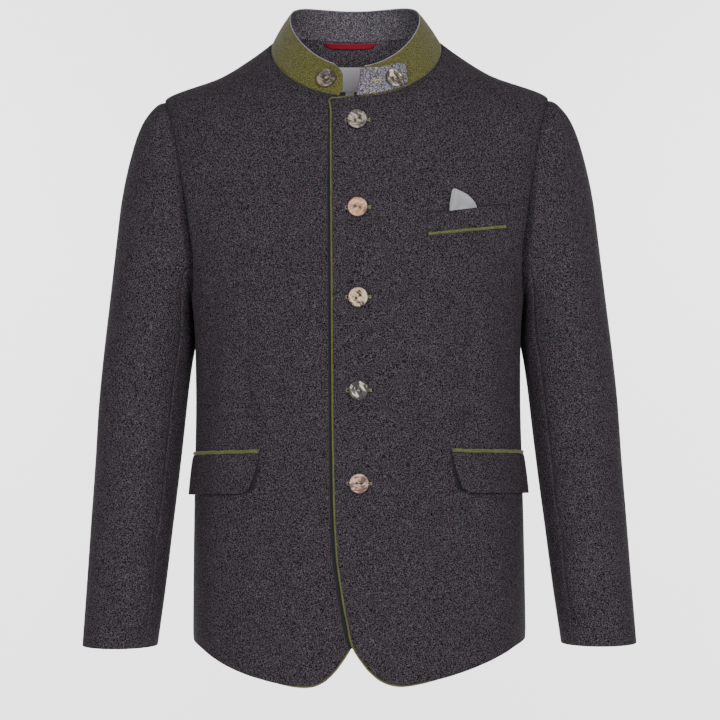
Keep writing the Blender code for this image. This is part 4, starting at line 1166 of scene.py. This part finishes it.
def inside_neck(name, centre, foot_half, top_half, top, height, finish, stand_off=0.0, sag=0.0):
    """A strip on the facing: it stands off and sags in the middle, and its ends are sewn down."""
    across = np.linspace(1, -1, 41)
    rise = np.linspace(0, 1, 9)[:, None]
    middle = np.cos(np.pi / 2 * across)
    x = centre + (foot_half + (top_half - foot_half) * rise) * across
    z = top - height * (1 - rise) - sag * middle
    points, inward = on_back(x, z)
    base = CLOTH + GAP + THIN_PLY + GAP + 0.0004 + stand_off * middle**0.5
    points = points + (back_relief(points) - base)[..., None] * inward
    sew_on(cloth_wall(f"{name}_cloth", points, inward, THIN_PLY), finish, name)


inside_neck("hanger_loop", -0.0075, 0.0265, 0.0335, 0.0164, 0.0056, ribbon, stand_off=0.0012, sag=0.0003)
inside_neck("neck_label", -0.0075, 0.0210, 0.0210, -0.0120, 0.0290, label_cloth)
inside_neck("size_tab", -0.0087, 0.0050, 0.0050, -0.0420, 0.0060, label_cloth)
print("Inside the neck: facing, loop, label and tab")

# %% [markdown]
# Piping is a strip of green felt folded over a cord. It edges the fronts, the hip pockets and the
# breast welt, and it lies half sunk in the seam that holds it.

# %% Piping
green_piping = felt("green_piping", PIPING_GREEN, 0.50, 0.25, 1300)


def edge_piping(side, points, inward, grid):
    """From the free neck edge down the front and round the cutaway. The under front's is only low down."""
    angles, levels = grid[:2]
    facing = body_facing(angles, levels)
    middle = points - CLOTH / 2 * inward
    mirrored = side == "right"
    last_hem = int(np.sum(front_columns < PIPED_SHARE + 0.02))
    low_rows = int(np.sum(levels[:, 0] < -0.650))
    free = int(np.sum(angles[-1] < -1.5))
    down = np.s_[(low_rows if mirrored else len(points) - 1) :: -1, 0]
    runs = [(middle[down], facing[down]), (middle[0, 1:last_hem], facing[0, 1:last_hem])]
    if not mirrored:
        runs.insert(0, (middle[-1, free:0:-1], facing[-1, free:0:-1]))
    path, out = (np.concatenate(parts) for parts in zip(*runs))
    keep = np.append(True, np.linalg.norm(np.diff(path, axis=0), axis=1) > 0.0004)
    path, out = path[keep], out[keep]
    aside = -unit(np.cross(out, unit(np.gradient(path, axis=0))))
    walked = lengths(path[:, None], 0)[:, 0]
    hem_run = lengths(middle[:1, :last_hem], 1)[0, -1]
    slim = 1 - 0.85 * ease(walked[-1] - 0.6 * hem_run, walked[-1], walked)
    path = path + aside * (EDGE_CORD / 2 * slim + CLOTH / 2 - 0.0002)[:, None]
    name = f"piping_front_{side}"
    height = CLOTH * 1.25
    cord = round_cord(f"{name}_cord", path, out, EDGE_CORD, height, 10, mirrored, wobble=0.0001, slim=slim)
    sew_on(cord, green_piping, name)


def lap_painted_shade():
    """A dark band on the under front, along the edge that laps over it: painted shade, the line of shadow
    beside that edge.
    """
    levels = np.linspace(-0.0105, -0.7045, 600)
    x = through_rows(FRONT_EDGE, levels)[:, 0]
    low = ease(-0.42, -0.66, levels) * ease(-0.7045, -0.690, levels)
    width = 0.0078 + 0.0030 * low + 0.0008 * uneven(-levels)
    angle = angle_at_x(x - 0.0006, levels)
    facing = body_facing(angle, levels)
    path = body(angle, levels) - (UNDERLAP - GAP) * facing
    return round_cord("lap_painted_shade", path, facing, 0.001, 0.0002, slim=width / 0.001)


# Near-black material for painted shade: beside the lapped edge, at the flaps' inner ends and in the pocket's
# mouth.
black_painted_shade = plain("black_painted_shade", (0.006, 0.006, 0.007), 0.9, 900)
sew_on(lap_painted_shade(), black_painted_shade)
edge_piping("left", left_points, left_inward, left_front)
edge_piping("right", right_points, right_inward, right_front)
print("The piping is", EDGE_CORD * 1000, "mm wide")

# %% [markdown]
# A pocket flap hangs from its seam and stands off a little at its lower edge, where its two plies
# turn. Its corners are rounded, and it wraps round the hip to the side seam.

# %% Hip pockets
HIP = dict(inner=dict(left=0.1090, right=0.1159), height=0.0458, top=-0.4815, rise=0.0062, lift=0.0052)
FLAP_WIDTH, FLAP_OUTER = 0.105, 87.5  # width for the grid's spacing, and angle of its outer end
FLAP_CORNERS = (0.011, 0.006)  # radius at the inner and at the outer end
POCKET_CORD, SHOWN_CORD = 0.0034, 0.0041  # widths of the breast's and the hips' piping


def make_hip(side):
    """A flap curls away from its seam, over a dark lining that peeks out at its inner end as painted shade.
    """
    mirrored = side == "right"
    start = float(angle_at_x(HIP["inner"][side], HIP["top"]))
    along = close_by(FLAP_WIDTH, (0.0, FLAP_WIDTH), 0.0008, 0.003, 0.008) / FLAP_WIDTH
    corner = 0.0
    for radius, from_end in zip(FLAP_CORNERS, (along * FLAP_WIDTH, (1 - along) * FLAP_WIDTH)):
        corner = corner + radius - np.sqrt(radius**2 - np.maximum(radius - from_end, 0) ** 2)
    rise = close_by(1.0, (0.0, 1.0), 0.015, 0.07, 0.08)[:, None]
    top = HIP["top"] - HIP["rise"] * along
    foot = top - HIP["height"] + corner
    level = foot + (top - foot) * rise
    angle = start + (FLAP_OUTER - start) * along + 2.1 * (1 - rise) ** 1.5 * (1 - along) ** 4
    points, inward = body(angle, level), body_facing(angle, level)
    drop = (top - level) / HIP["height"]
    curl = 0.6 + 0.4 * np.cos(2 * np.pi * along)
    lift = GAP + CLOTH + HIP["lift"] * curl * drop ** (0.9 - 0.3 * along)
    lift = lift + 0.0004 * np.sin(3 * np.pi * along) * drop
    over = front_folds(points)
    shown = points + (lift + over)[..., None] * inward
    flap = cloth_wall(f"flap_{side}_cloth", shown, inward, CLOTH, (1, 0, 1, 1), mirrored)
    sew_on(flap, coat_wool, f"flap_{side}")
    # The lining's peek past the flap's inner end is painted shade, the shadow under that end.
    peek = (0.42 + 1.25 * drop**1.2) * (1 - along) ** 2
    under = body(angle - peek, level + 0.0006 * drop)
    under = under + (GAP + 0.0009 + over + 0.0010 * drop)[..., None] * inward
    lining = cloth_wall(f"flap_lining_painted_shade_{side}", under, inward, LINING_PLY, (1, 0, 1, 1), mirrored)
    sew_on(lining, black_painted_shade)
    level = top + GAP + SHOWN_CORD / 2
    facing = body_facing(angle[-1], level)
    path = body(angle[-1], level)
    path = path + (GAP + CLOTH * 0.55 + front_folds(path))[:, None] * facing
    name = f"piping_hip_{side}"
    cord = round_cord(f"{name}_cord", path, facing, SHOWN_CORD, CLOTH * 1.4, 12, mirrored, wobble=0.0004)
    sew_on(cord, green_piping, name)


for side in ("left", "right"):
    make_hip(side)
print("A flap, its lining and its piping on each hip")

# %% [markdown]
# The breast pocket has a welt, piping under it, and a fold of grey satin sewn into its mouth. The
# welt leans out at the top, so that the satin comes up from behind it.

# %% Breast pocket
WELT = dict(left=(0.0820, -0.2066), right=(0.1720, -0.1945), height=(0.0202, 0.0227))
welt_left, welt_right = np.array(WELT["left"]), np.array(WELT["right"])
welt_width = welt_right[0] - welt_left[0]
along = close_by(0.09, (0.0, 0.09), 0.0008, 0.003, 0.004)[None] / 0.09
rise = close_by(1.0, (0.0, 1.0), 0.03, 0.10, 0.10)[:, None]
welt_height = WELT["height"][0] + (WELT["height"][1] - WELT["height"][0]) * along
top_x = welt_left[0] + welt_width * along
top_z = welt_left[1] + (welt_right[1] - welt_left[1]) * along
angles, levels = on_front(top_x + 0 * rise, top_z - welt_height * (1 - rise))
points, inward = body(angles, levels), body_facing(angles, levels)
lean = 0.0016 * ease(0.2, 1.0, rise) * ease(0.0, 0.12, along) * (1 - ease(0.88, 1.0, along))
shown = points + (GAP + CLOTH + lean + front_folds(points))[..., None] * inward
sew_on(cloth_wall("breast_welt_cloth", shown, inward), coat_wool, "breast_welt")
cord_z = top_z[0] - welt_height[0] - POCKET_CORD / 2 - GAP
angles, levels = on_front(top_x[0], cord_z)
facing = body_facing(angles, levels)
path = body(angles, levels) + (GAP + CLOTH * 0.55) * facing
cord = round_cord("piping_breast_cord", path, facing, POCKET_CORD, CLOTH * 1.3, 12, wobble=0.0003)
sew_on(cord, green_piping, "piping_breast")
print("The welt is", round(float(np.linalg.norm(welt_right - welt_left)) * 1000), "mm long")


# %% The pocket's mouth, as painted shade
def pocket_mouth_painted_shade(beyond=0.0012, end_drop=0.45, steps=13):
    """Painted shade of the pocket's mouth behind the welt: a flat black band along its top and down its ends.
    """
    ends = np.linspace(end_drop, 0.0, steps + 1)[:-1]
    drop = np.concatenate([ends, np.zeros(top_x.shape[1]), ends[::-1]])
    x, z = np.pad(top_x[0], steps, "edge"), np.pad(top_z[0], steps, "edge")
    x[:steps] -= beyond
    x[-steps:] += beyond
    angles, levels = on_front(x, z + beyond - drop * 0.0215)
    facing = body_facing(angles, levels)
    path = body(angles, levels)
    path = path + (0.0011 + front_folds(path))[:, None] * facing
    return round_cord("pocket_mouth_painted_shade", path, facing, 0.0036, 0.0010, slim=1 - 0.8 * drop / end_drop)


mouth = sew_on(pocket_mouth_painted_shade(), black_painted_shade)
print("The mouth's band has", len(mouth.data.polygons), "faces")

# %% [markdown]
# The square is one fold of satin: a steep edge, a peak and a long slope. Its outline is a table of
# heights over x, and it is a wall like the others, bent once beside its steep edge. Its foot stays
# flat behind the welt, and only what shows above the welt stands off the coat.

# %% The pocket square
def satin_finish(name, colour):
    """Satin's long floats: noise drawn out along the thread, under a soft sheen."""
    finish, tree, surface, place = finish_named(name, 0.42, sheen=0.1, specular=0.5)
    threads = grain(tree, place, 3000, 3.0, 0.6, (6.0, 1.0, 1.0))
    cloth = blend_colours(tree, [(0.35, tone(colour, 0.86)), (0.65, tone(colour, 1.1))], threads)
    tree.links.new(cloth, surface.inputs["Base Color"])
    surface.inputs["Anisotropic"].default_value = 0.4
    raise_up(tree, surface, threads, 0.0001, 0.5)
    return finish


satin = satin_finish("grey_satin", (0.29, 0.285, 0.31))
SQUARE = (  # x, and the height of the fold's edge there
    (0.1065, -0.1945),
    (0.1098, -0.1785),
    (0.1112, -0.1772),
    (0.1180, -0.1795),
    (0.1262, -0.1838),
    (0.1340, -0.1915),
    (0.1400, -0.2020),
)
SQUARE_WIDTH, TUCKED = 0.0335, 0.008  # its width, and how much of it lies below the welt's top


def pocket_square():
    """A grid from the foot, behind the welt, up to the fold's edge.

    It stands off by a step beside its steep edge, leans out towards its edge, and has a hollow in
    the middle of its foot.
    """
    x = close_by(SQUARE_WIDTH, (0.0, 0.006, SQUARE_WIDTH), 0.0005, 0.0014, 0.003)[None] + SQUARE[0][0]
    peak = through_rows(SQUARE, x[0])[:, 0]
    foot = np.interp(x[0], (welt_left[0], welt_right[0]), (welt_left[1], welt_right[1])) - TUCKED
    rise = np.linspace(0, 1, 22)[:, None]
    angles, levels = on_front(x + 0 * rise, foot + (peak - foot) * rise)
    points, inward = body(angles, levels), body_facing(angles, levels)
    above = (peak - foot) * rise - TUCKED
    beside = x - 0.1092 - 0.0022 * rise
    step = 0.0013 * ease(0.0, 0.0008, beside) - 0.0009 * ease(0.0008, 0.010, beside)
    hollow = seam_dip(x - 0.1205, 0.0013, 0.0040) * (1 - ease(0.2, 0.8, rise))
    fold = step + 0.0018 * ease(0.3, 1.0, rise) + hollow
    fold = 0.0009 + 0.0013 * ease(-0.005, -0.0005, above) + fold * ease(0.0, 0.006, above)
    points = points + (fold + front_folds(points))[..., None] * inward
    return cloth_wall("pocket_square_cloth", points, inward, LINING_PLY)


square = sew_on(pocket_square(), satin, "pocket_square")
print("The square is", round(square.dimensions.x * 1000), "mm wide")

# %% [markdown]
# A stag-horn button is turned: a raised rim round a dished face, with two holes. The horn is pale at
# the heart and brown-grey in streaks towards the bark, no two alike, so the streaks are noise drawn
# out along the horn and read at each button's own place on the coat.

# %% Horn buttons
BUTTON_HEIGHTS = (-0.0952, -0.1978, -0.3013, -0.4088, -0.5163)
BUTTON_RADIUS, BUTTON_THICKNESS = 0.0113, 0.0036
HOLE_APART, HOLE_RADIUS, HOLE_DEPTH = 0.0027, 0.0015, 0.0019  # a hole's middle is this far from the button's
BUTTON_SIDES = 72
BUTTON_PROFILE = (  # share of the way along the profile, share of the radius, share of the thickness
    (0.00, 0.000, 0.66),
    (0.20, 0.480, 0.66),
    (0.28, 0.640, 0.70),
    (0.34, 0.740, 0.90),
    (0.40, 0.830, 1.00),
    (0.46, 0.920, 0.97),
    (0.52, 0.985, 0.80),
    (0.58, 1.000, 0.60),
    (0.66, 0.960, 0.36),
    (0.76, 0.800, 0.08),
    (0.84, 0.640, 0.00),
    (1.00, 0.000, 0.00),
)


print("The buttons lie", round((BUTTON_HEIGHTS[0] - BUTTON_HEIGHTS[1]) * 1000), "mm apart at the top")


# %% Horn
def hole_shade(tree):
    """1 in the two holes and 0 beside them, from the button's own coordinates, in radii."""
    spot = add(tree, "UVMap", {"uv_map": "cloth"}).outputs["UV"]
    beside = add(tree, "VectorMath", {"operation": "ABSOLUTE"}, i0=spot).outputs["Vector"]
    centre = (HOLE_APART / BUTTON_RADIUS, 0, 0)
    off = add(tree, "VectorMath", {"operation": "SUBTRACT"}, i0=beside, i1=centre).outputs["Vector"]
    to_hole = add(tree, "VectorMath", {"operation": "LENGTH"}, i0=off).outputs["Value"]
    share = HOLE_RADIUS / BUTTON_RADIUS
    return between(tree, 1.15 * share, 0.85 * share, to_hole), spot


def stag_horn(name, shift, pale, brown, turn, heart, bold):
    """Horn: streaks of pale and brown about a heart value and dark flecks, with painted shade: a near-black
    ring at its edge and black in the two holes.
    """
    finish, tree, surface, place = finish_named(name, 0.34, specular=0.5)
    moved = add(tree, "Mapping", Vector=place, Location=shift).outputs["Vector"]
    streaks = grain(tree, moved, bold, 4.0, 0.62, (4.0, 1.0, 1.0), (0, turn, 0))
    bands = grain(tree, moved, bold * 0.31, 3.0, 0.55, (2.2, 1.0, 1.0), (0, turn + 12, 0))
    value = weigh(tree, streaks, 0.5, bands)
    bark = [(heart - 0.07, tone(brown, 0.5)), (heart - 0.015, brown)]
    core = [(heart + 0.02, pale), (heart + 0.12, tone(pale, 1.5))]
    horn = blend_colours(tree, bark + core, value)
    flecks = between(tree, 0.60, 0.66, grain(tree, moved, 1300, 2.0, 0.6, (2.5, 1.0, 1.0), (0, turn + 30, 0)))
    horn = mix(tree, reckon(tree, "MULTIPLY", flecks, 0.75), horn, (*tone(brown, 0.35), 1))
    in_hole, spot = hole_shade(tree)
    radius = add(tree, "VectorMath", {"operation": "LENGTH"}, i0=spot).outputs["Value"]
    # Painted shade: a near-black ring at the edge, where the button stands off the cloth.
    outside = reckon(tree, "MULTIPLY", between(tree, 0.94, 1.0, radius), 0.8)
    horn = mix(tree, outside, horn, (*tone(brown, 0.15), 1))
    # Painted shade: black in the two holes.
    horn = mix(tree, in_hole, horn, (0.004, 0.003, 0.003, 1))
    tree.links.new(horn, surface.inputs["Base Color"])
    raise_up(tree, surface, value, 0.0003, 0.5)
    return finish


print("A hole takes", round(HOLE_RADIUS / BUTTON_RADIUS, 2), "of the button's radius")


# %% The turned button
def button_points():
    """The profile turned round: r cos t, r sin t and its height, less a deep pit over each hole.

    The third array holds x and y in radii, moved two radii aside on the back so that it has no holes.
    """
    along = close_by(1.0, (0.09, 0.42), 0.007, 0.03, 0.10)
    radius, height = through_rows(BUTTON_PROFILE, along).T * ((BUTTON_RADIUS,), (BUTTON_THICKNESS,))
    face = along[1:-1, None] < 0.5
    turn = np.arange(BUTTON_SIDES) * 2 * np.pi / BUTTON_SIDES
    out, up = radius[1:-1, None], height[1:-1, None]
    ring = np.stack([out * np.cos(turn), out * np.sin(turn), up + 0 * turn], -1)
    for side in (-1, 1):
        off = np.hypot(ring[..., 0] - side * HOLE_APART, ring[..., 1])
        ring[..., 2] -= face * HOLE_DEPTH * (1 - ease(HOLE_RADIUS * 0.75, HOLE_RADIUS * 1.25, off))
    index = np.arange(ring[..., 0].size).reshape(ring.shape[:2])
    after = np.roll(index, -1, axis=1)
    quads = np.stack([index[:-1], index[1:], after[1:], after[:-1]], -1).reshape(-1, 4)
    heart, back = np.full(BUTTON_SIDES, index.size), np.full(BUTTON_SIDES, index.size + 1)
    caps = [np.stack([heart, index[0], after[0]], -1), np.stack([back, after[-1], index[-1]], -1)]
    points = np.concatenate([ring.reshape(-1, 3), [(0, 0, height[0]), (0, 0, height[-1])]])
    behind = (points[:, 2:] < 0.4 * BUTTON_THICKNESS) * (2.0, 0.0)
    return points, [quads, *caps], points[:, :2] / BUTTON_RADIUS + behind


button_shape = button_points()
print("A button has", len(button_shape[0]), "points")


# %% Thread through the holes
def upright(point, normal, spin):
    """Axes at a point: across, up and out of the coat, turned about the last by some degrees."""
    out = unit(np.asarray(normal, float))
    across = unit(np.cross((0.0, 0.0, 1.0), out))
    up = np.cross(out, across)
    a = math.radians(spin)
    across, up = across * math.cos(a) + up * math.sin(a), up * math.cos(a) - across * math.sin(a)
    return np.array(point, float), np.stack([across, up, out])


def set_down(points, place):
    """Points given across, up and out at a place, as points of the coat."""
    origin, axes = place
    return origin + points @ axes


def sewn_through(name, place, finish):
    """Two strands of thread from hole to hole, each an arch: height = bow x sin, sunk at its ends."""
    along = np.linspace(0, np.pi, 25)
    x = -(HOLE_APART - 0.6 * HOLE_RADIUS) * np.cos(along)
    z = BUTTON_THICKNESS * (0.30 + 0.42 * np.sin(along) ** 0.5)
    facing = np.tile(place[1][2], (len(x), 1))
    strands = []
    for offset in (-0.00033, 0.00033):
        path = set_down(np.stack([x, np.full_like(x, offset), z], -1), place)
        strand = f"{name}_{len(strands) + 1}"
        strands.append(round_cord(strand, path, facing, 0.0005, 0.0004, wrap=0.08, pitch=0.0007))
    return sew_on(joined(name, strands), finish)


def joined(name, pieces):
    """Several meshes as one piece, with their arrays put end to end."""
    points, faces, uv, base = [], {}, [], 0
    for piece in pieces:
        mesh = piece.data
        flat = np.empty(3 * len(mesh.vertices))
        mesh.vertices.foreach_get("co", flat)
        corners = np.empty(len(mesh.loops), int)
        mesh.loops.foreach_get("vertex_index", corners)
        sizes = np.empty(len(mesh.polygons), int)
        mesh.polygons.foreach_get("loop_total", sizes)
        starts = np.cumsum(sizes) - sizes
        for size in np.unique(sizes):
            group = corners[starts[sizes == size][:, None] + np.arange(size)] + base
            faces.setdefault(int(size), []).append(group)
        points.append(flat.reshape(-1, 3))
        base += len(mesh.vertices)
        bpy.data.objects.remove(piece)
    return new_mesh(name, np.concatenate(points), [np.concatenate(groups) for groups in faces.values()])


print("The thread's two strands run between holes", round(HOLE_APART * 2000, 1), "mm apart")

# %% Seven pieces of horn
HORNS = {  # place in the horn, pale and brown colours, turn of the streaks, heart value, streaks a metre
    "button_1": ((0.1, 0.0, 0.3), (0.33, 0.28, 0.23), (0.13, 0.105, 0.09), 20, 0.50, 620),
    "button_2": ((0.7, 0.2, 0.1), (0.52, 0.31, 0.19), (0.34, 0.20, 0.12), -35, 0.46, 620),
    "button_3": ((0.4, 0.9, 0.5), (0.55, 0.40, 0.28), (0.10, 0.06, 0.04), 50, 0.475, 620),
    "button_4": ((1.3, 0.1, 0.9), (0.60, 0.56, 0.48), (0.085, 0.076, 0.070), 55, 0.535, 520),
    "button_5": ((0.2, 1.6, 0.7), (0.52, 0.33, 0.27), (0.20, 0.11, 0.09), -15, 0.49, 620),
    "collar_button_right": ((0.9, 0.5, 1.1), (0.20, 0.155, 0.13), (0.09, 0.066, 0.054), 30, 0.49, 620),
    "collar_button_left": ((1.1, 0.3, 0.2), (0.52, 0.46, 0.36), (0.12, 0.09, 0.07), 48, 0.525, 520),
}
horns = {name: stag_horn(f"stag_horn_{count}", *look) for count, (name, look) in enumerate(HORNS.items(), 1)}
red_thread = plain("red_thread", (0.30, 0.015, 0.02), 0.7)
brown_thread = plain("brown_thread", (0.30, 0.23, 0.17), 0.7)
pale_twist = plain("pale_twist", (0.45, 0.42, 0.34), 0.7)


def set_button(name, point, normal, lift, spin, thread):
    """A button stands off the cloth by its lift, turned by its spin, with its thread through it."""
    point, axes = upright(point, normal, spin)
    raised = (point + axes[2] * lift, axes)
    points, faces, uv = button_shape
    sew_on(new_mesh(f"{name}_horn", set_down(points, raised), faces, uv), horns[name], name)
    sewn_through(f"{name}_thread", raised, thread)


FRONT_BUTTONS = (  # height, spin in degrees, thread
    (BUTTON_HEIGHTS[0], 28, brown_thread),
    (BUTTON_HEIGHTS[1], -14, brown_thread),
    (BUTTON_HEIGHTS[2], 38, brown_thread),
    (BUTTON_HEIGHTS[3], -25, pale_twist),
    (BUTTON_HEIGHTS[4], -8, red_thread),
)
BUTTON_LINE, BUTTON_LIFT = 0.0005, 0.00145  # x of the front buttons, and how far they stand off
COLLAR_BUTTONS = (  # name, angle, share of the collar's height, lift, spin
    ("collar_button_right", -21.7, 0.45, 0.0006, -38),
    ("collar_button_left", 27.5, 0.335, GAP + TAB_PLY + 0.0008, 12),
)
for number, (height, spin, thread) in enumerate(FRONT_BUTTONS, 1):
    angle, level = on_front(BUTTON_LINE, height)
    set_button(f"button_{number}", body(angle, level), body_facing(angle, level), BUTTON_LIFT, spin, thread)
for name, angle, share, lift, spin in COLLAR_BUTTONS:
    set_button(name, collar_point(angle, share), collar_facing(angle, share), lift, spin, pale_twist)
print("Seven horn buttons of", round(BUTTON_RADIUS * 2000, 1), "mm")

# %% [markdown]
# Each buttonhole is a keyhole: a slit with a round eyelet towards the edge of the front and a short
# bar at its other end. Buttonhole stitch covers its lips, so the cord along it swells at each stitch.

# %% Buttonholes
hole_thread = plain("buttonhole_thread", (0.19, 0.19, 0.085), 0.7, 2500)
pale_thread = plain("pale_green_thread", (0.36, 0.36, 0.15), 0.7, 2500)
HOLE_LENGTH, LIP, EYELET = 0.0285, 0.0009, 0.0019  # the slit, half its width and its eyelet's radius
BAR_HALF = 0.0021
STITCH_SWELL = 0.16  # share by which a cord swells at each stitch
TAB_BARS = (  # angle and share of the collar's height, at a bar's start and at its end
    ((13.4, 0.53), (13.4, 0.37)),
    ((17.2, 0.51), (17.2, 0.35)),
    ((13.4, 0.45), (17.2, 0.43)),
)


def keyhole(length, lip, eyelet):
    """The line round the slit: two straight lips, an eyelet circle at -x, closed by the bar at +x."""
    turn = np.radians(np.linspace(152, -152, 40))
    start = -length / 2 + eyelet
    circle = np.stack([start + eyelet * np.cos(np.pi - turn), eyelet * np.sin(np.pi - turn)], -1)
    upper = np.linspace((length / 2, lip), circle[0], 30)[:-1]
    lower = np.linspace(circle[-1], (length / 2, -lip), 30)[1:]
    return np.concatenate([upper, circle, lower])


def buttonhole(name, height):
    """The stitched lips and the bar of one buttonhole, behind the button at this height."""
    lips = keyhole(HOLE_LENGTH, LIP, EYELET)
    walked = np.append(0, np.cumsum(np.linalg.norm(np.diff(lips, axis=0), axis=1)))
    at = np.linspace(0, 1, 420) * walked[-1]
    lips = np.stack([np.interp(at, walked, lips[:, axis]) for axis in (0, 1)], -1)
    bar = np.stack([np.full(60, HOLE_LENGTH / 2), np.linspace(BAR_HALF, -BAR_HALF, 60)], -1)
    cords = []
    for line, width in ((lips, 0.0015), (bar, 0.0013)):
        angle, level = on_front(0.0008 + line[:, 0], height + line[:, 1])
        facing = body_facing(angle, level)
        path = body(angle, level)
        path = path + (0.0002 + front_folds(path))[:, None] * facing
        cord = f"{name}_cord_{len(cords)}"
        cords.append(round_cord(cord, path, facing, width, 0.0011, wrap=STITCH_SWELL, pitch=0.00062))
    sew_on(joined(name, cords), hole_thread)


for number, height in enumerate(BUTTON_HEIGHTS, 1):
    buttonhole(f"buttonhole_{number}", height)


def tab_bars():
    """The end of the tab's own buttonhole: two upright bars of thread joined by a level one."""
    bars = []
    for ends in TAB_BARS:
        angle, share = np.linspace(*ends, 50).T
        facing = collar_facing(angle, share)
        path = collar_point(angle, share) + (GAP + TAB_PLY + 0.0004) * facing
        bar = f"bar_{len(bars)}"
        bars.append(round_cord(bar, path, facing, 0.0016, 0.0013, wrap=STITCH_SWELL, pitch=0.0006))
    return joined("tab_bar", bars)


sew_on(tab_bars(), pale_thread)
print("Five buttonholes and the bars on the tab")

# %% [markdown]
# The studio is a sweep of pale paper under soft light. Two wide lamps stand before the coat, the one on
# its left brighter, so that its folds show, and two more whiten the wall behind it. The lamps are
# area lights, because a wide light has soft shadows.

# %% The studio
def lamp(name, place, aim, size, power):
    """A round area light that looks from its place to its aim."""
    light = bpy.data.lights.new(name, "AREA")
    light.shape, light.size, light.energy = "DISK", size, power
    piece = bpy.data.objects.new(name, light)
    piece.location = place
    piece.rotation_euler = (Vector(aim) - Vector(place)).to_track_quat("-Z", "Y").to_euler()
    bpy.context.scene.collection.objects.link(piece)


def backdrop():
    """A floor that bends up into a wall behind the coat: a quarter circle between two straight runs."""
    turn = np.linspace(0, np.pi / 2, 24)
    radius, back, floor_z = 1.5, 5.0, -1.55
    y = np.concatenate([[-9.0], back - radius + radius * np.sin(turn), [back]])
    z = np.concatenate([[floor_z], floor_z + radius * (1 - np.cos(turn)), [6.0]])
    x = np.array([-9.0, 9.0])
    points = np.stack([np.broadcast_to(x, (len(y), 2)), np.stack([y, y], 1), np.stack([z, z], 1)], -1)
    index = np.arange(2 * len(y)).reshape(-1, 2)
    faces = np.stack([index[:-1, 0], index[:-1, 1], index[1:, 1], index[1:, 0]], -1)
    return new_mesh("studio_floor", points.reshape(-1, 3), [faces])


floor = backdrop()
paper = bpy.data.materials.new("studio_paper")
paper.use_nodes = True
surface = paper.node_tree.nodes["Principled BSDF"]
surface.inputs["Base Color"].default_value = (0.80, 0.80, 0.80, 1)
surface.inputs["Roughness"].default_value = 1.0
floor.data.materials.append(paper)
world = bpy.data.worlds.new("soft_light")
world.use_nodes = True
sky = world.node_tree.nodes["Background"]
sky.inputs["Color"].default_value = (1, 1, 1, 1)
sky.inputs["Strength"].default_value = 0.33
bpy.context.scene.world = world
lamp("key", (1.6, -3.1, 0.75), (0, 0, -0.42), 1.6, 74)
lamp("fill", (-1.6, -3.2, 0.1), (0, 0, -0.42), 1.6, 53)
lamp("wall_left", (-2.6, 2.2, 0.6), (-1.0, 5.0, -0.4), 2.0, 278)
lamp("wall_right", (2.6, 2.2, 0.6), (1.0, 5.0, -0.4), 2.0, 278)
print("Lamps:", len(bpy.data.lights))

# %% [markdown]
# The camera looks level at the middle of the coat from three metres. A long lens from so far keeps the
# shoulders and the hem at one scale, as in a catalogue picture.

# %% The camera
camera = bpy.data.cameras.new("camera")
camera.lens, camera.sensor_width = 125, 36
viewpoint = bpy.data.objects.new("camera", camera)
viewpoint.location = (0.0024, -3.0, -0.374)
viewpoint.rotation_euler = (math.radians(90), math.radians(0.3), 0)
bpy.context.scene.collection.objects.link(viewpoint)
bpy.context.scene.camera = viewpoint
print("The camera's lens is", camera.lens, "mm")
